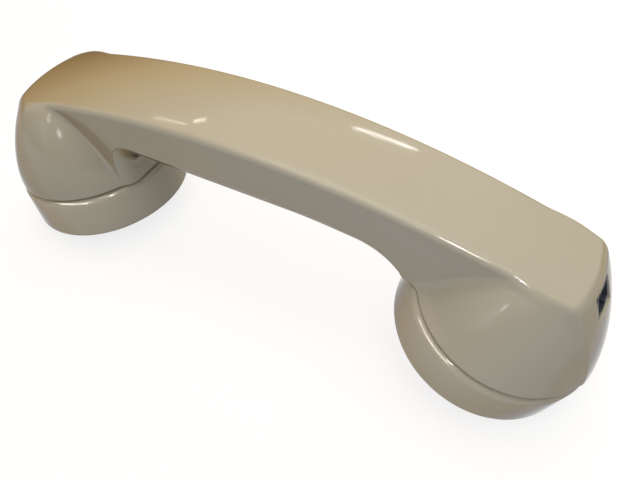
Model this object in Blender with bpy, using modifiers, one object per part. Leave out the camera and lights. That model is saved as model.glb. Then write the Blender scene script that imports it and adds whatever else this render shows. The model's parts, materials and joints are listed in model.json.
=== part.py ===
"""Desk telephone handset: a one-piece moulded handle with two screw-on caps.

Units are metres, +Z is up. The handset lies caps down, on the lower edges of its two caps. X runs along
its length, from the receiver (ear) end at -X to the transmitter (mouth) end at +X. The origin is on the
table, below the middle of the length.

Each end is laid out in the frame of its cap: U points outward in the plane of the seam between housing
and cap, Y is shared, and H rises from the seam into the housing along the cap's axis.
"""
import math

import bmesh
import bpy
import numpy as np
from mathutils import Euler, Matrix, Vector

MM = 0.001

# Driving dimensions: the two ends
CAP_RADIUS = 28.5 * MM
CAP_HEIGHT = 15.6 * MM
CAP_WALL = 2.5 * MM
CAP_EDGE_RADIUS = 1.6 * MM
CAP_SHOULDER_RADIUS = 1.3 * MM
CAP_SPACING = 150.0 * MM
RECEIVER_TILT = math.radians(11.0)
TRANSMITTER_TILT = math.radians(19.0)
HOUSING_STEP = 0.4 * MM
NECK_WALL = 2.0 * MM
HOUSING_WALL = 3.0 * MM
CLEARANCE = 0.3 * MM

# Driving dimensions: the back and the grip
BACK_HEIGHT = 59.6 * MM
BACK_RADIUS = 309.0 * MM
BACK_CENTRE_X = -2.9 * MM
BACK_CROWN = 0.8 * MM
GRIP_HALF_WIDTH = 15.5 * MM
GRIP_TAPER = 0.014
GRIP_WAIST_RADIUS = 5550.0 * MM
GRIP_DRAFT = 0.067
GRIP_DEPTH = 18.6 * MM
GRIP_UNDERSIDE_CROWN = 0.7 * MM
GRIP_EDGE_RADIUS = 5.0 * MM
LEG_EDGE_RADIUS = 1.5 * MM
LEG_EDGE_REACH = 34.0 * MM
GRIP_EDGE_BREAK = 0.1 * MM
LEG_GAP_HALF = 47.4 * MM
RECEIVER_CROTCH = 11.0 * MM
TRANSMITTER_CROTCH = 8.5 * MM
TRANSMITTER_LEG_LEAN = math.radians(32.0)
TRANSMITTER_LEG_OVERHANG = 1.5 * MM
BACK_EDGE_RADIUS = 1.2 * MM
LEAD_PASSAGE_RADIUS = 5.2 * MM

# Driving dimensions: the domed housings. Each is round in plan and narrows with its height over the seam,
# and an end wall that leans inward and bends over cuts its outer side
RECEIVER_DOME_HEIGHT = 39.0 * MM
RECEIVER_DOME_POWER = 1.8
RECEIVER_INNER_SHARE = 1.0
RECEIVER_WALL_LEAN = 0.42
RECEIVER_WALL_BEND_RADIUS = 73.5 * MM
RECEIVER_CORNER_RADIUS = 6.0 * MM
RECEIVER_CREASE_RADIUS = 0.8 * MM
TRANSMITTER_DOME_HEIGHT = 33.6 * MM
TRANSMITTER_DOME_POWER = 0.98
TRANSMITTER_INNER_SHARE = 0.95
TRANSMITTER_WALL_LEAN = 0.34
TRANSMITTER_WALL_BEND_RADIUS = 40.3 * MM
TRANSMITTER_CORNER_RADIUS = 2.0 * MM
TRANSMITTER_CREASE_RADIUS = 2.0 * MM
INNER_SHARE_HEIGHT = 4.0 * MM
END_WALL_PLAN_RADIUS = 36.0 * MM

# Driving dimensions: the jack
JACK_WIDTH = 9.4 * MM
JACK_HEIGHT = 8.0 * MM
JACK_DEPTH = 13.0 * MM
JACK_SOCKET_WIDTH = 7.9 * MM
JACK_SOCKET_HEIGHT = 5.8 * MM
JACK_LATCH_WIDTH = 3.4 * MM
JACK_LATCH_HEIGHT = 1.1 * MM
JACK_WALL_THICKNESS = 1.5 * MM
JACK_RECESS = 0.5 * MM
JACK_DROP = 20.6 * MM
JACK_PITCH = math.radians(17.0)
JACK_CONTACT_COUNT = 4
JACK_CONTACT_PITCH = 1.1 * MM
JACK_CONTACT_RADIUS = 0.25 * MM
JACK_CONTACT_START = 4.4 * MM
JACK_CONTACT_BEND = 5.6 * MM
JACK_CONTACT_END = 9.8 * MM
JACK_CONTACT_DROP = 3.0 * MM

# Driving dimensions: what is inside the ends
FACE_RIM_WIDTH = 8.0 * MM
RECEIVER_DISH_DEPTH = 2.2 * MM
TRANSMITTER_DISH_DEPTH = 1.2 * MM
CAP_FACE_THICKNESS = 2.0 * MM
HOLE_RADIUS = 1.1 * MM
HOLE_RING_PITCH = 4.6 * MM
RECEIVER_HOLE_RINGS = 1
TRANSMITTER_HOLE_RINGS = 2
FELT_THICKNESS = 0.7 * MM
FLANGE_THICKNESS = 1.2 * MM
RECEIVER_CASE_LENGTH = 12.0 * MM
RECEIVER_CASE_WALL = 1.0 * MM
TERMINAL_BOARD_RADIUS = 15.0 * MM
TERMINAL_BOARD_THICKNESS = 1.6 * MM
TERMINAL_SPACING = 16.0 * MM
TRANSMITTER_CASE_LENGTH = 10.5 * MM
CONTACT_CUP_WALL = 1.5 * MM
GRID_THICKNESS = 0.8 * MM
SCREW_RADIUS = 2.0 * MM
LEAD_RADIUS = 0.8 * MM
LEAD_PITCH = 2.0 * MM
LEAD_TAIL = 4.0 * MM
LEAD_RISE = 4.0 * MM
SCREW_HEAD = 1.2 * MM
SHANK_SHARE = 0.45
SCREW_CROWN_SHARE = 0.8
SUPPRESSOR_RADIUS = 1.6 * MM
SUPPRESSOR_CHAMFER = 0.4 * MM
DIAPHRAGM_RISE = 1.2 * MM
DIAPHRAGM_THICKNESS = 0.4 * MM
MAGNET_INNER = 10.4 * MM
MAGNET_OUTER = 17.0 * MM
POST_RADIUS = 6.4 * MM
YOKE_THICKNESS = 1.6 * MM
SPRING_SPACE = 3.2 * MM
SPRING_SCREW_X = 13.0 * MM
SPRING_THICKNESS = 0.5 * MM
SPRING_WIDTH = 4.0 * MM
SPRING_FLAT_SHARE = 0.45
SPRING_SLOPE_SHARE = 0.85
BUTTON_RADIUS = 4.6 * MM
BUTTON_CHAMFER = 0.9 * MM
BUTTON_TOUCH_RADIUS = 1.8 * MM
CHAMBER_RADIUS = 8.0 * MM
WAD_LENGTH = 26.0 * MM

# The hollows of the shell
BORE_STRAIGHT = 3.0 * MM
BORE_STEPS = 7
BACK_WALL_FACTOR = 1.5
PASSAGE_ENTRY = 6.0 * MM
PASSAGE_POINT_COUNT = 22
LEVEL_TO_WALL = 22.0 * MM
DOME_CUT_SHARE = 0.97
CUT_MARGIN = 4.0 * MM

# Fineness of the meshes
PIVOT_OFFSET = 10.0 * MM
FAN_SAMPLE_COUNT = 160
FAN_SECTION_COUNT = 17
GRIP_SECTION_COUNT = 9
SECTION_SPACING = 5.0 * MM
SECTION_TURN = math.radians(12)
MARCH_STEP = 0.5 * MM
SECTION_POINT_COUNT = 22
OUTLINE_SPACING = 6.0 * MM
OUTLINE_TURN = math.radians(15)
DISH_STEPS = 4
ROUNDING_STEPS = 3
SCREW_TURNS = 12
LEAD_POINT_COUNT = 34
SHORT_LEAD_POINT_COUNT = 14
LEAD_FINENESS = 1
PASSAGE_FINENESS = 2
RAY_COUNT = 240
TURNS = 40
INNER_TURNS = 32
SMALL_TURNS = 20
HOLE_SIDES = 8
CURVE_STEPS = 20
MARCH_HALVINGS = 18
SHARP_ANGLE = math.radians(35)

# Sizes that follow from the driving dimensions
HOUSING_RADIUS = CAP_RADIUS - HOUSING_STEP
NECK_RADIUS = CAP_RADIUS - CAP_WALL - CLEARANCE
BORE_RADIUS = NECK_RADIUS - NECK_WALL
FACE_RIM = CAP_RADIUS - FACE_RIM_WIDTH
GRIP_UNDERSIDE = BACK_HEIGHT - GRIP_DEPTH
JACK_CENTRE_Z = BACK_HEIGHT - JACK_DROP
SECTION_REACH = BACK_HEIGHT + CAP_RADIUS
CAP_FLOOR = CAP_HEIGHT - RECEIVER_DISH_DEPTH - CAP_FACE_THICKNESS
NECK_LENGTH = CAP_FLOOR - FELT_THICKNESS - FLANGE_THICKNESS - 3 * CLEARANCE

COLLECTION_NAME = "telephone_handset"


def seam_height(tilt):
    """Height of the seam's centre over the table, with the cap's lower edge touching the table."""
    rim = CAP_RADIUS - CAP_EDGE_RADIUS
    drop = CAP_HEIGHT - CAP_EDGE_RADIUS
    return rim * math.sin(tilt) + drop * math.cos(tilt) + CAP_EDGE_RADIUS


class End:
    """One end of the handset: its seam centre, its outward and upward directions and its dome."""

    def __init__(self, side, tilt, dome, wall, corner_radius, crease_radius):
        self.side = side
        self.tilt = tilt
        self.centre = np.array([side * CAP_SPACING / 2, 0.0, seam_height(tilt)])
        self.outward = np.array([side * math.cos(tilt), 0.0, -math.sin(tilt)])
        self.upward = np.array([side * math.sin(tilt), 0.0, math.cos(tilt)])
        self.dome_height, self.dome_power, self.inner_share = dome
        self.wall_lean, self.wall_bend_radius = wall
        self.corner_radius = corner_radius
        self.crease_radius = crease_radius

    def local(self, points):
        """World points as U, Y and H of this end."""
        offset = points - self.centre
        return offset @ self.outward, offset[..., 1], offset @ self.upward

    def world(self, u, y, h):
        """A point of this end in world coordinates."""
        return Vector(self.centre + u * self.outward + np.array([0.0, y, 0.0]) + h * self.upward)

    def dome_radius(self, h):
        """Radius of the dome in plan, from the seam's circle up to the narrow back."""
        rise = np.clip(h / self.dome_height, 0.0, DOME_CUT_SHARE)
        return HOUSING_RADIUS * np.sqrt(1.0 - rise ** self.dome_power)

    def end_radius(self, h):
        """Reach of the end wall, which leans inward and bends over towards the back."""
        height = np.maximum(h, 0.0)
        return HOUSING_RADIUS - self.wall_lean * height - height ** 2 / (2 * self.wall_bend_radius)

    def matrix(self):
        """Placement of objects modelled with X along U and Z along H."""
        x_axis = Vector(self.outward)
        z_axis = Vector(self.upward)
        y_axis = z_axis.cross(x_axis)
        rotation = Matrix((x_axis, y_axis, z_axis)).transposed().to_4x4()
        return Matrix.Translation(Vector(self.centre)) @ rotation


def smooth_step(t):
    """Rise from 0 to 1 with a level start and end."""
    t = np.clip(t, 0.0, 1.0)
    return t * t * (3.0 - 2.0 * t)


def round_max(a, b, radius):
    """Intersection of two fields whose common edge is rounded."""
    edge = np.hypot(np.maximum(a + radius, 0.0), np.maximum(b + radius, 0.0))
    return edge + np.minimum(np.maximum(a, b) + radius, 0.0) - radius


def round_min(a, b, radius):
    """Union of two fields whose common crease is filleted."""
    return -round_max(-a, -b, radius)


def soft_max(a, b, width):
    """Intersection of two fields that blends over a width, for edges that aren't square."""
    blend = np.maximum(width - np.abs(a - b), 0.0) / width
    return np.maximum(a, b) + blend * blend * width / 4.0


RECEIVER = End(
    -1, RECEIVER_TILT, (RECEIVER_DOME_HEIGHT, RECEIVER_DOME_POWER, RECEIVER_INNER_SHARE),
    (RECEIVER_WALL_LEAN, RECEIVER_WALL_BEND_RADIUS), RECEIVER_CORNER_RADIUS, RECEIVER_CREASE_RADIUS)
TRANSMITTER = End(
    1, TRANSMITTER_TILT, (TRANSMITTER_DOME_HEIGHT, TRANSMITTER_DOME_POWER, TRANSMITTER_INNER_SHARE),
    (TRANSMITTER_WALL_LEAN, TRANSMITTER_WALL_BEND_RADIUS), TRANSMITTER_CORNER_RADIUS,
    TRANSMITTER_CREASE_RADIUS)


def back_height(x):
    """Height of the long edges of the back, a shallow arch."""
    return BACK_HEIGHT - (x - BACK_CENTRE_X) ** 2 / (2 * BACK_RADIUS)


def side_half_width(x, z):
    """Half width between the grip's side faces, which draw in slightly below the back."""
    at_back = GRIP_HALF_WIDTH - GRIP_TAPER * x - x ** 2 / (2 * GRIP_WAIST_RADIUS)
    return at_back - GRIP_DRAFT * (back_height(x) - z)


def finger_gap_field(x, z, underside):
    """Negative in the finger gap under the grip, between the legs of the two ends."""
    receiver_leg = -(x + LEG_GAP_HALF)
    lean = TRANSMITTER_LEG_LEAN
    foot = TRANSMITTER.world(-HOUSING_RADIUS - TRANSMITTER_LEG_OVERHANG, 0.0, 0.0)
    transmitter_leg = (x - foot.x) * math.cos(lean) + (z - foot.z) * math.sin(lean)
    gap = soft_max(z - underside, receiver_leg, RECEIVER_CROTCH)
    return soft_max(gap, transmitter_leg, TRANSMITTER_CROTCH)


def grip_field(points):
    """Negative in the grip with its two legs, which reach into the domes."""
    x, y, z = points[..., 0], points[..., 1], points[..., 2]
    half_width = side_half_width(x, z)
    side = np.abs(y) - half_width
    across = np.clip(y / half_width, -1.0, 1.0)
    underside = GRIP_UNDERSIDE - GRIP_UNDERSIDE_CROWN * (1.0 - across ** 2)
    below = -finger_gap_field(x, z, underside)
    sharpening = smooth_step((x - LEG_GAP_HALF + LEG_EDGE_REACH) / LEG_EDGE_REACH)
    edge_radius = GRIP_EDGE_RADIUS + (LEG_EDGE_RADIUS - GRIP_EDGE_RADIUS) * sharpening
    return np.maximum(side, round_max(side - GRIP_EDGE_BREAK, below, edge_radius))


def dome_field(end, points):
    """Negative in one domed housing, which is round in plan and a little flatter towards the grip."""
    u, y, h = end.local(points)
    radius = end.dome_radius(h)
    flatter = 1.0 + (end.inner_share - 1.0) * smooth_step(h / INNER_SHARE_HEIGHT)
    across = np.where(u > 0.0, u, u / flatter)
    return np.hypot(across, y) - radius


def wall_field(end, points):
    """Negative on the inner side of one end wall."""
    u, y, h = end.local(points)
    return u - end.end_radius(h) + y ** 2 / (2 * END_WALL_PLAN_RADIUS)


def back_field(points):
    """Negative below the arched, slightly crowned back."""
    x, y, z = points[..., 0], points[..., 1], points[..., 2]
    across = np.clip(y / GRIP_HALF_WIDTH, -1.3, 1.3)
    return z - back_height(x) - BACK_CROWN * (1.0 - across ** 2)


def end_field(end, points):
    """Negative in the grip with one domed housing, filleted where they meet, behind its end wall."""
    sides = round_min(dome_field(end, points), grip_field(points), end.crease_radius)
    return round_max(sides, wall_field(end, points), end.corner_radius)


def housing_field(points):
    """Negative inside the outer form of the handle, positive outside it."""
    receiver = end_field(RECEIVER, points)
    transmitter = end_field(TRANSMITTER, points)
    sides = np.where(points[..., 0] < 0.0, receiver, transmitter)
    return round_max(back_field(points), sides, BACK_EDGE_RADIUS)


def march(starts, directions, reach, step):
    """Distance from each start along its direction to the first place outside the housing."""
    low = np.zeros(starts.shape[:-1])
    high = np.full(starts.shape[:-1], reach)
    found = np.zeros(starts.shape[:-1], dtype=bool)
    for distance in np.arange(step, reach, step):
        outside = housing_field(starts + directions * distance) > 0.0
        first = outside & ~found
        low[first] = distance - step
        high[first] = distance
        found |= outside
    for _ in range(MARCH_HALVINGS):
        middle = (low + high) / 2
        outside = housing_field(starts + directions * middle[..., None]) > 0.0
        high = np.where(outside, middle, high)
        low = np.where(outside, low, middle)
    return (low + high) / 2


def span(starts, directions, reach, step):
    """Near and far crossing of each ray that starts in the finger gap and passes through the housing."""
    distances = np.arange(0.0, reach, step)
    samples = starts[:, None, :] + directions[:, None, :] * distances[None, :, None]
    inside = housing_field(samples) < 0.0
    near = distances[inside.argmax(axis=1)]
    far = near + march(starts + directions * near[:, None], directions, reach, step)
    return near, far


def even_by_bend(points, count, length_unit, angle_unit):
    """Indices, as decimals, that spread points along a line, closer together where it bends."""
    legs = np.diff(points, axis=0)
    lengths = np.linalg.norm(legs, axis=1)
    units = legs / lengths[:, None]
    bends = np.arccos(np.clip((units[1:] * units[:-1]).sum(axis=1), -1.0, 1.0))
    weight = lengths / length_unit
    weight[1:] += bends / 2 / angle_unit
    weight[:-1] += bends / 2 / angle_unit
    total = np.concatenate([[0.0], np.cumsum(weight)])
    return np.interp(np.linspace(0.0, total[-1], count), total, np.arange(len(points)))


def at_index(values, index):
    """Values of a table at decimal indices."""
    base = np.arange(len(values))
    return np.stack([np.interp(index, base, column) for column in values.T], axis=1)


def fan_planes(end, count):
    """Section planes that turn about a line in the finger gap, from the end's seam to upright."""
    pivot = end.centre - (HOUSING_RADIUS + PIVOT_OFFSET) * end.outward
    angles = np.linspace(-end.tilt, math.pi / 2, FAN_SAMPLE_COUNT)
    directions = np.stack([end.side * np.cos(angles), 0 * angles, np.sin(angles)], axis=1)
    starts = np.repeat(pivot[None, :], len(angles), axis=0)
    far = span(starts, directions, SECTION_REACH, MARCH_STEP)[1]
    outline = starts + directions * far[:, None]
    index = even_by_bend(outline, count, SECTION_SPACING, SECTION_TURN)
    chosen = np.interp(index, np.arange(len(angles)), angles)
    directions = np.stack([end.side * np.cos(chosen), 0 * chosen, np.sin(chosen)], axis=1)
    return np.repeat(pivot[None, :], count, axis=0), directions


def section_planes():
    """Start and direction of every section, from the receiver's seam to the transmitter's seam."""
    left_starts, left_directions = fan_planes(RECEIVER, FAN_SECTION_COUNT)
    right_starts, right_directions = fan_planes(TRANSMITTER, FAN_SECTION_COUNT)
    share = np.linspace(0.0, 1.0, GRIP_SECTION_COUNT + 2)[1:-1, None]
    grip_starts = left_starts[-1] + (right_starts[-1] - left_starts[-1]) * share
    grip_directions = np.repeat(np.array([[0.0, 0.0, 1.0]]), GRIP_SECTION_COUNT, axis=0)
    starts = np.concatenate([left_starts, grip_starts, right_starts[::-1]])
    directions = np.concatenate([left_directions, grip_directions, right_directions[::-1]])
    return starts, directions


def section_outline(start, direction):
    """One closed outline of the housing, with more points where it bends."""
    near, far = span(start[None, :], direction[None, :], SECTION_REACH, MARCH_STEP)
    middle = start + direction * (near[0] + far[0]) / 2
    angles = np.linspace(0.0, math.pi, RAY_COUNT)
    rays = np.cos(angles)[:, None] * direction + np.sin(angles)[:, None] * np.array([0.0, -1.0, 0.0])
    distances = march(np.repeat(middle[None, :], RAY_COUNT, axis=0), rays, SECTION_REACH, MARCH_STEP)
    half = middle + rays * distances[:, None]
    half = at_index(half, even_by_bend(half, SECTION_POINT_COUNT + 1, OUTLINE_SPACING, OUTLINE_TURN))
    half[0, 1] = half[-1, 1] = 0.0
    other = half[-2:0:-1] * np.array([1.0, -1.0, 1.0])
    return np.concatenate([half, other])


def neck_rings(end, seam_ring):
    """The step in to the neck, and the neck's lower edge, from the outline at the seam."""
    offset = seam_ring - end.centre
    radius = np.linalg.norm(offset, axis=1, keepdims=True)
    shoulder = end.centre + offset / radius * NECK_RADIUS
    lower = shoulder - NECK_LENGTH * end.upward
    return shoulder, lower


def loft(name, rings):
    """A closed mesh through a row of outlines with equal point counts, flat at both ends."""
    shape = bmesh.new()
    rows = [[shape.verts.new(point) for point in ring] for ring in rings]
    for row, following in zip(rows, rows[1:]):
        for index in range(len(row)):
            after = (index + 1) % len(row)
            shape.faces.new((row[index], row[after], following[after], following[index]))
    shape.faces.new(rows[0])
    shape.faces.new(reversed(rows[-1]))
    bmesh.ops.recalc_face_normals(shape, faces=shape.faces)
    mesh = bpy.data.meshes.new(name)
    shape.to_mesh(mesh)
    shape.free()
    return mesh


def material(name, colour, roughness, metallic=0.0):
    """A Principled material for one sub-part."""
    result = bpy.data.materials.new(name)
    result.use_nodes = True
    shader = result.node_tree.nodes["Principled BSDF"]
    shader.inputs["Base Color"].default_value = (*colour, 1.0)
    shader.inputs["Roughness"].default_value = roughness
    shader.inputs["Metallic"].default_value = metallic
    result.diffuse_color = (*colour, 1.0)
    return result


def add_object(name, data, finish=None, parent=None, cutter=False):
    """Put a mesh or curve into the scene as a sub-part, or as a hidden cutter."""
    piece = bpy.data.objects.new(name, data)
    if cutter:
        CUTTERS.objects.link(piece)
        piece.hide_render = True
        piece.display_type = "WIRE"
    else:
        PARTS.objects.link(piece)
        data.materials.append(finish)
    if parent:
        piece.parent = parent
    return piece


def add_frame(name, matrix):
    """An empty that carries the pieces laid out in its frame."""
    frame = bpy.data.objects.new(name, None)
    PARTS.objects.link(frame)
    frame.matrix_world = matrix
    return frame


def arc(centre, radius, start_degrees, end_degrees, steps):
    """Points along an arc of a profile."""
    angles = np.radians(np.linspace(start_degrees, end_degrees, steps + 1))
    return [(centre[0] + radius * math.cos(a), centre[1] + radius * math.sin(a)) for a in angles]


def turned(name, profile, turns, finish=None, parent=None, cutter=False):
    """A turned piece: a profile of radius and height, run down its outer side, revolved about Z."""
    mesh = bpy.data.meshes.new(name)
    points = [(radius, 0.0, height) for radius, height in profile]
    edges = [(index, index + 1) for index in range(len(points) - 1)]
    if profile[0][0] > 0.0:
        edges.append((len(points) - 1, 0))
    mesh.from_pydata(points, edges, [])
    piece = add_object(name, mesh, finish, parent, cutter)
    screw = piece.modifiers.new("revolve", "SCREW")
    screw.steps = turns
    screw.render_steps = turns
    screw.use_merge_vertices = True
    screw.merge_threshold = 0.00001
    screw.use_smooth_shade = True
    return piece


def cut(piece, cutter):
    """Take a cutter's shape out of a piece."""
    boolean = piece.modifiers.new(cutter.name, "BOOLEAN")
    boolean.operation = "DIFFERENCE"
    boolean.object = cutter


def round_cutter(name, centres, radius, low, high, sides, parent):
    """A cutter of parallel round pins, for a pattern of holes."""
    shape = bmesh.new()
    for x, y in centres:
        place = Matrix.Translation((x, y, (low + high) / 2))
        bmesh.ops.create_cone(
            shape, cap_ends=True, segments=sides, radius1=radius, radius2=radius,
            depth=high - low, matrix=place)
    mesh = bpy.data.meshes.new(name)
    shape.to_mesh(mesh)
    shape.free()
    return add_object(name, mesh, parent=parent, cutter=True)


def hole_rings(rings, pitch):
    """Centres of a round hole pattern: one in the middle and six more in each ring outward."""
    centres = [(0.0, 0.0)]
    for ring in range(1, rings + 1):
        for index in range(6 * ring):
            angle = 2 * math.pi * index / (6 * ring)
            centres.append((ring * pitch * math.cos(angle), ring * pitch * math.sin(angle)))
    return centres


def block(name, low, high, finish=None, parent=None, cutter=False):
    """A square-edged block between two corners."""
    shape = bmesh.new()
    bmesh.ops.create_cube(shape, size=1.0)
    size = Vector(high) - Vector(low)
    centre = (Vector(high) + Vector(low)) / 2
    for vertex in shape.verts:
        vertex.co = Vector(a * b for a, b in zip(vertex.co, size)) + centre
    mesh = bpy.data.meshes.new(name)
    shape.to_mesh(mesh)
    shape.free()
    return add_object(name, mesh, finish, parent, cutter)


def smooth_path(points, count):
    """Evenly spread points of a smooth curve through a route's own points."""
    route = [Vector(point) for point in points]
    route = [route[0] * 2 - route[1]] + route + [route[-1] * 2 - route[-2]]
    fine = []
    for before, start, end, after in zip(route, route[1:], route[2:], route[3:]):
        for share in np.linspace(0.0, 1.0, CURVE_STEPS, endpoint=False):
            blend = ((2 * before - 5 * start + 4 * end - after) * share
                     + (3 * start - before - 3 * end + after) * share ** 2 + (end - before))
            fine.append(start + blend * share / 2)
    fine.append(route[-2])
    table = np.array(fine)
    lengths = np.concatenate([[0.0], np.cumsum(np.linalg.norm(np.diff(table, axis=0), axis=1))])
    index = np.interp(np.linspace(0.0, lengths[-1], count), lengths, np.arange(len(table)))
    return at_index(table, index)


def tube(name, points, radius, fineness, finish=None, parent=None):
    """A round wire or lead along a path, with closed ends."""
    curve = bpy.data.curves.new(name, "CURVE")
    curve.dimensions = "3D"
    curve.bevel_depth = radius
    curve.bevel_resolution = fineness
    curve.use_fill_caps = True
    spline = curve.splines.new("POLY")
    spline.points.add(len(points) - 1)
    for spline_point, point in zip(spline.points, points):
        spline_point.co = (*point, 1.0)
    return add_object(name, curve, finish, parent, cutter=finish is None)


def curve_to_cutter(piece):
    """Turn a curve into a closed mesh, so that it can cut."""
    bpy.context.view_layer.update()
    evaluated = piece.evaluated_get(bpy.context.evaluated_depsgraph_get())
    mesh = bpy.data.meshes.new_from_object(evaluated)
    shape = bmesh.new()
    shape.from_mesh(mesh)
    bmesh.ops.remove_doubles(shape, verts=shape.verts, dist=0.00001)
    bmesh.ops.recalc_face_normals(shape, faces=shape.faces)
    shape.to_mesh(mesh)
    shape.free()
    name = piece.name
    place = piece.matrix_world.copy()
    bpy.data.objects.remove(piece)
    cutter = add_object(name + "_cutter", mesh, cutter=True)
    cutter.matrix_world = place
    return cutter


def flat_strip(name, centre_line, thickness, width, finish, parent):
    """A bent leaf: its edge-on outline as a filled flat curve, extruded to its width."""
    line = np.array(centre_line)
    legs = np.gradient(line, axis=0)
    normals = np.stack([-legs[:, 1], legs[:, 0]], axis=1) / np.linalg.norm(legs, axis=1)[:, None]
    outline = np.concatenate([line + normals * thickness / 2, (line - normals * thickness / 2)[::-1]])
    curve = bpy.data.curves.new(name, "CURVE")
    curve.dimensions = "2D"
    curve.fill_mode = "BOTH"
    curve.extrude = width / 2
    spline = curve.splines.new("POLY")
    spline.points.add(len(outline) - 1)
    for spline_point, point in zip(spline.points, outline):
        spline_point.co = (point[0], point[1], 0.0, 1.0)
    spline.use_cyclic_u = True
    piece = add_object(name, curve, finish, parent)
    piece.rotation_euler = Euler((math.pi / 2, 0.0, 0.0))
    return piece


def shade_round(piece):
    """Shade a mesh smooth, keeping its sharp edges."""
    piece.data.shade_smooth()
    piece.data.set_sharp_from_angle(angle=SHARP_ANGLE)


def bore_profile(end):
    """The hollow of one end: a straight bore in the neck that follows the dome's walls above it."""
    back = back_over_axis(end)
    top = back - BACK_WALL_FACTOR * HOUSING_WALL
    profile = [(0.0, top)]
    for height in np.linspace(top, BORE_STRAIGHT, BORE_STEPS):
        walls = min(float(end.dome_radius(height)), float(end.end_radius(height))) - HOUSING_WALL
        profile.append((min(walls, BORE_RADIUS), float(height)))
    profile.append((BORE_RADIUS, -NECK_LENGTH - CUT_MARGIN))
    profile.append((0.0, -NECK_LENGTH - CUT_MARGIN))
    return profile


def back_over_axis(end):
    """Height of the back above the seam, along the cap's axis."""
    start = end.centre[None, :] + end.upward[None, :] * MM
    return float(march(start, end.upward[None, :], SECTION_REACH, MARCH_STEP)[0]) + MM


def passage_route():
    """Middle of the lead passage, from one hollow through the grip to the other."""
    middle = (GRIP_UNDERSIDE + BACK_HEIGHT) / 2
    bend = GRIP_UNDERSIDE + LEAD_PASSAGE_RADIUS + HOUSING_WALL / 4
    return [
        RECEIVER.world(-PASSAGE_ENTRY, 0.0, back_over_axis(RECEIVER) / 2),
        (-LEG_GAP_HALF - PASSAGE_ENTRY, 0.0, bend),
        (-LEG_GAP_HALF + 2 * PASSAGE_ENTRY, 0.0, middle - BACK_CROWN),
        (0.0, 0.0, middle),
        (LEG_GAP_HALF - 2 * PASSAGE_ENTRY, 0.0, middle - BACK_CROWN),
        (LEG_GAP_HALF + PASSAGE_ENTRY, 0.0, bend - BACK_CROWN),
        TRANSMITTER.world(-PASSAGE_ENTRY / 2, 0.0, back_over_axis(TRANSMITTER) / 2),
    ]


def jack_matrix():
    """Placement of the jack: origin on the transmitter's end wall, X pointing out of the wall."""
    axis = np.array([math.cos(JACK_PITCH), 0.0, math.sin(JACK_PITCH)])
    inner = np.array([TRANSMITTER.centre[0], 0.0, JACK_CENTRE_Z])
    inner[2] -= (LEVEL_TO_WALL * axis / axis[0])[2]
    reach = float(march(inner[None, :], axis[None, :], SECTION_REACH, MARCH_STEP)[0])
    wall = Vector(inner + axis * reach)
    return Matrix.Translation(wall) @ Matrix.Rotation(-JACK_PITCH, 4, "Y")


def build_shell(finish, jack_frame):
    """The handle: one lofted moulding, hollow at both ends, with a lead passage and the jack's pocket."""
    starts, directions = section_planes()
    outlines = [section_outline(start, direction) for start, direction in zip(starts, directions)]
    left_shoulder, left_neck = neck_rings(RECEIVER, outlines[0])
    right_shoulder, right_neck = neck_rings(TRANSMITTER, outlines[-1])
    rings = [left_neck, left_shoulder, *outlines, right_shoulder, right_neck]
    shell = add_object("handle_shell", loft("handle_shell", rings), finish)
    for end, frame, name in ENDS:
        bore = turned(name + "_bore", bore_profile(end), INNER_TURNS, parent=frame, cutter=True)
        cut(shell, bore)
    passage = tube("lead_passage", smooth_path(passage_route(), PASSAGE_POINT_COUNT), LEAD_PASSAGE_RADIUS,
                   PASSAGE_FINENESS)
    cut(shell, curve_to_cutter(passage))
    half_width = JACK_WIDTH / 2 + CLEARANCE
    half_height = JACK_HEIGHT / 2 + CLEARANCE
    pocket = block(
        "jack_pocket", (-JACK_RECESS - JACK_DEPTH - CLEARANCE, -half_width, -half_height),
        (CUT_MARGIN, half_width, half_height), parent=jack_frame, cutter=True)
    cut(shell, pocket)
    shade_round(shell)
    return shell


def cap_profile(dish_depth):
    """Half section of a cap: floor, inner wall, rounded shoulder, side, rounded edge, rim and dish."""
    floor = -(CAP_HEIGHT - dish_depth - CAP_FACE_THICKNESS)
    inner = CAP_RADIUS - CAP_WALL
    shoulder = (CAP_RADIUS - CAP_SHOULDER_RADIUS, -CLEARANCE - CAP_SHOULDER_RADIUS)
    edge = (CAP_RADIUS - CAP_EDGE_RADIUS, -CAP_HEIGHT + CAP_EDGE_RADIUS)
    dish = []
    for share in np.linspace(1.0, 0.0, DISH_STEPS + 1):
        dish.append((FACE_RIM * share, -CAP_HEIGHT + dish_depth * (1.0 - share ** 2)))
    return [
        (0.0, floor), (inner, floor), (inner, -CLEARANCE),
        *arc(shoulder, CAP_SHOULDER_RADIUS, 90, 0, ROUNDING_STEPS),
        *arc(edge, CAP_EDGE_RADIUS, 0, -90, ROUNDING_STEPS),
        *dish,
    ]


def build_cap(name, frame, dish_depth, rings, finish):
    """A screw-on cap with its pattern of sound holes."""
    cap = turned(name, cap_profile(dish_depth), TURNS, finish, frame)
    centres = hole_rings(rings, HOLE_RING_PITCH)
    low = -CAP_HEIGHT - CUT_MARGIN
    high = -CAP_HEIGHT + dish_depth + CAP_FACE_THICKNESS + CUT_MARGIN
    cut(cap, round_cutter(name + "_holes", centres, HOLE_RADIUS, low, high, HOLE_SIDES, frame))
    return cap


def cup_profile(flange_radius, body_radius, wall, front, flange, top, floor):
    """A case open at the front: floor at the top, body, flange round the mouth and bore."""
    return [
        (0.0, top), (body_radius - wall / 2, top), (body_radius, top - wall / 2),
        (body_radius, front + flange), (flange_radius, front + flange), (flange_radius, front),
        (body_radius - wall, front), (body_radius - wall, top - floor), (0.0, top - floor),
    ]


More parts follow.
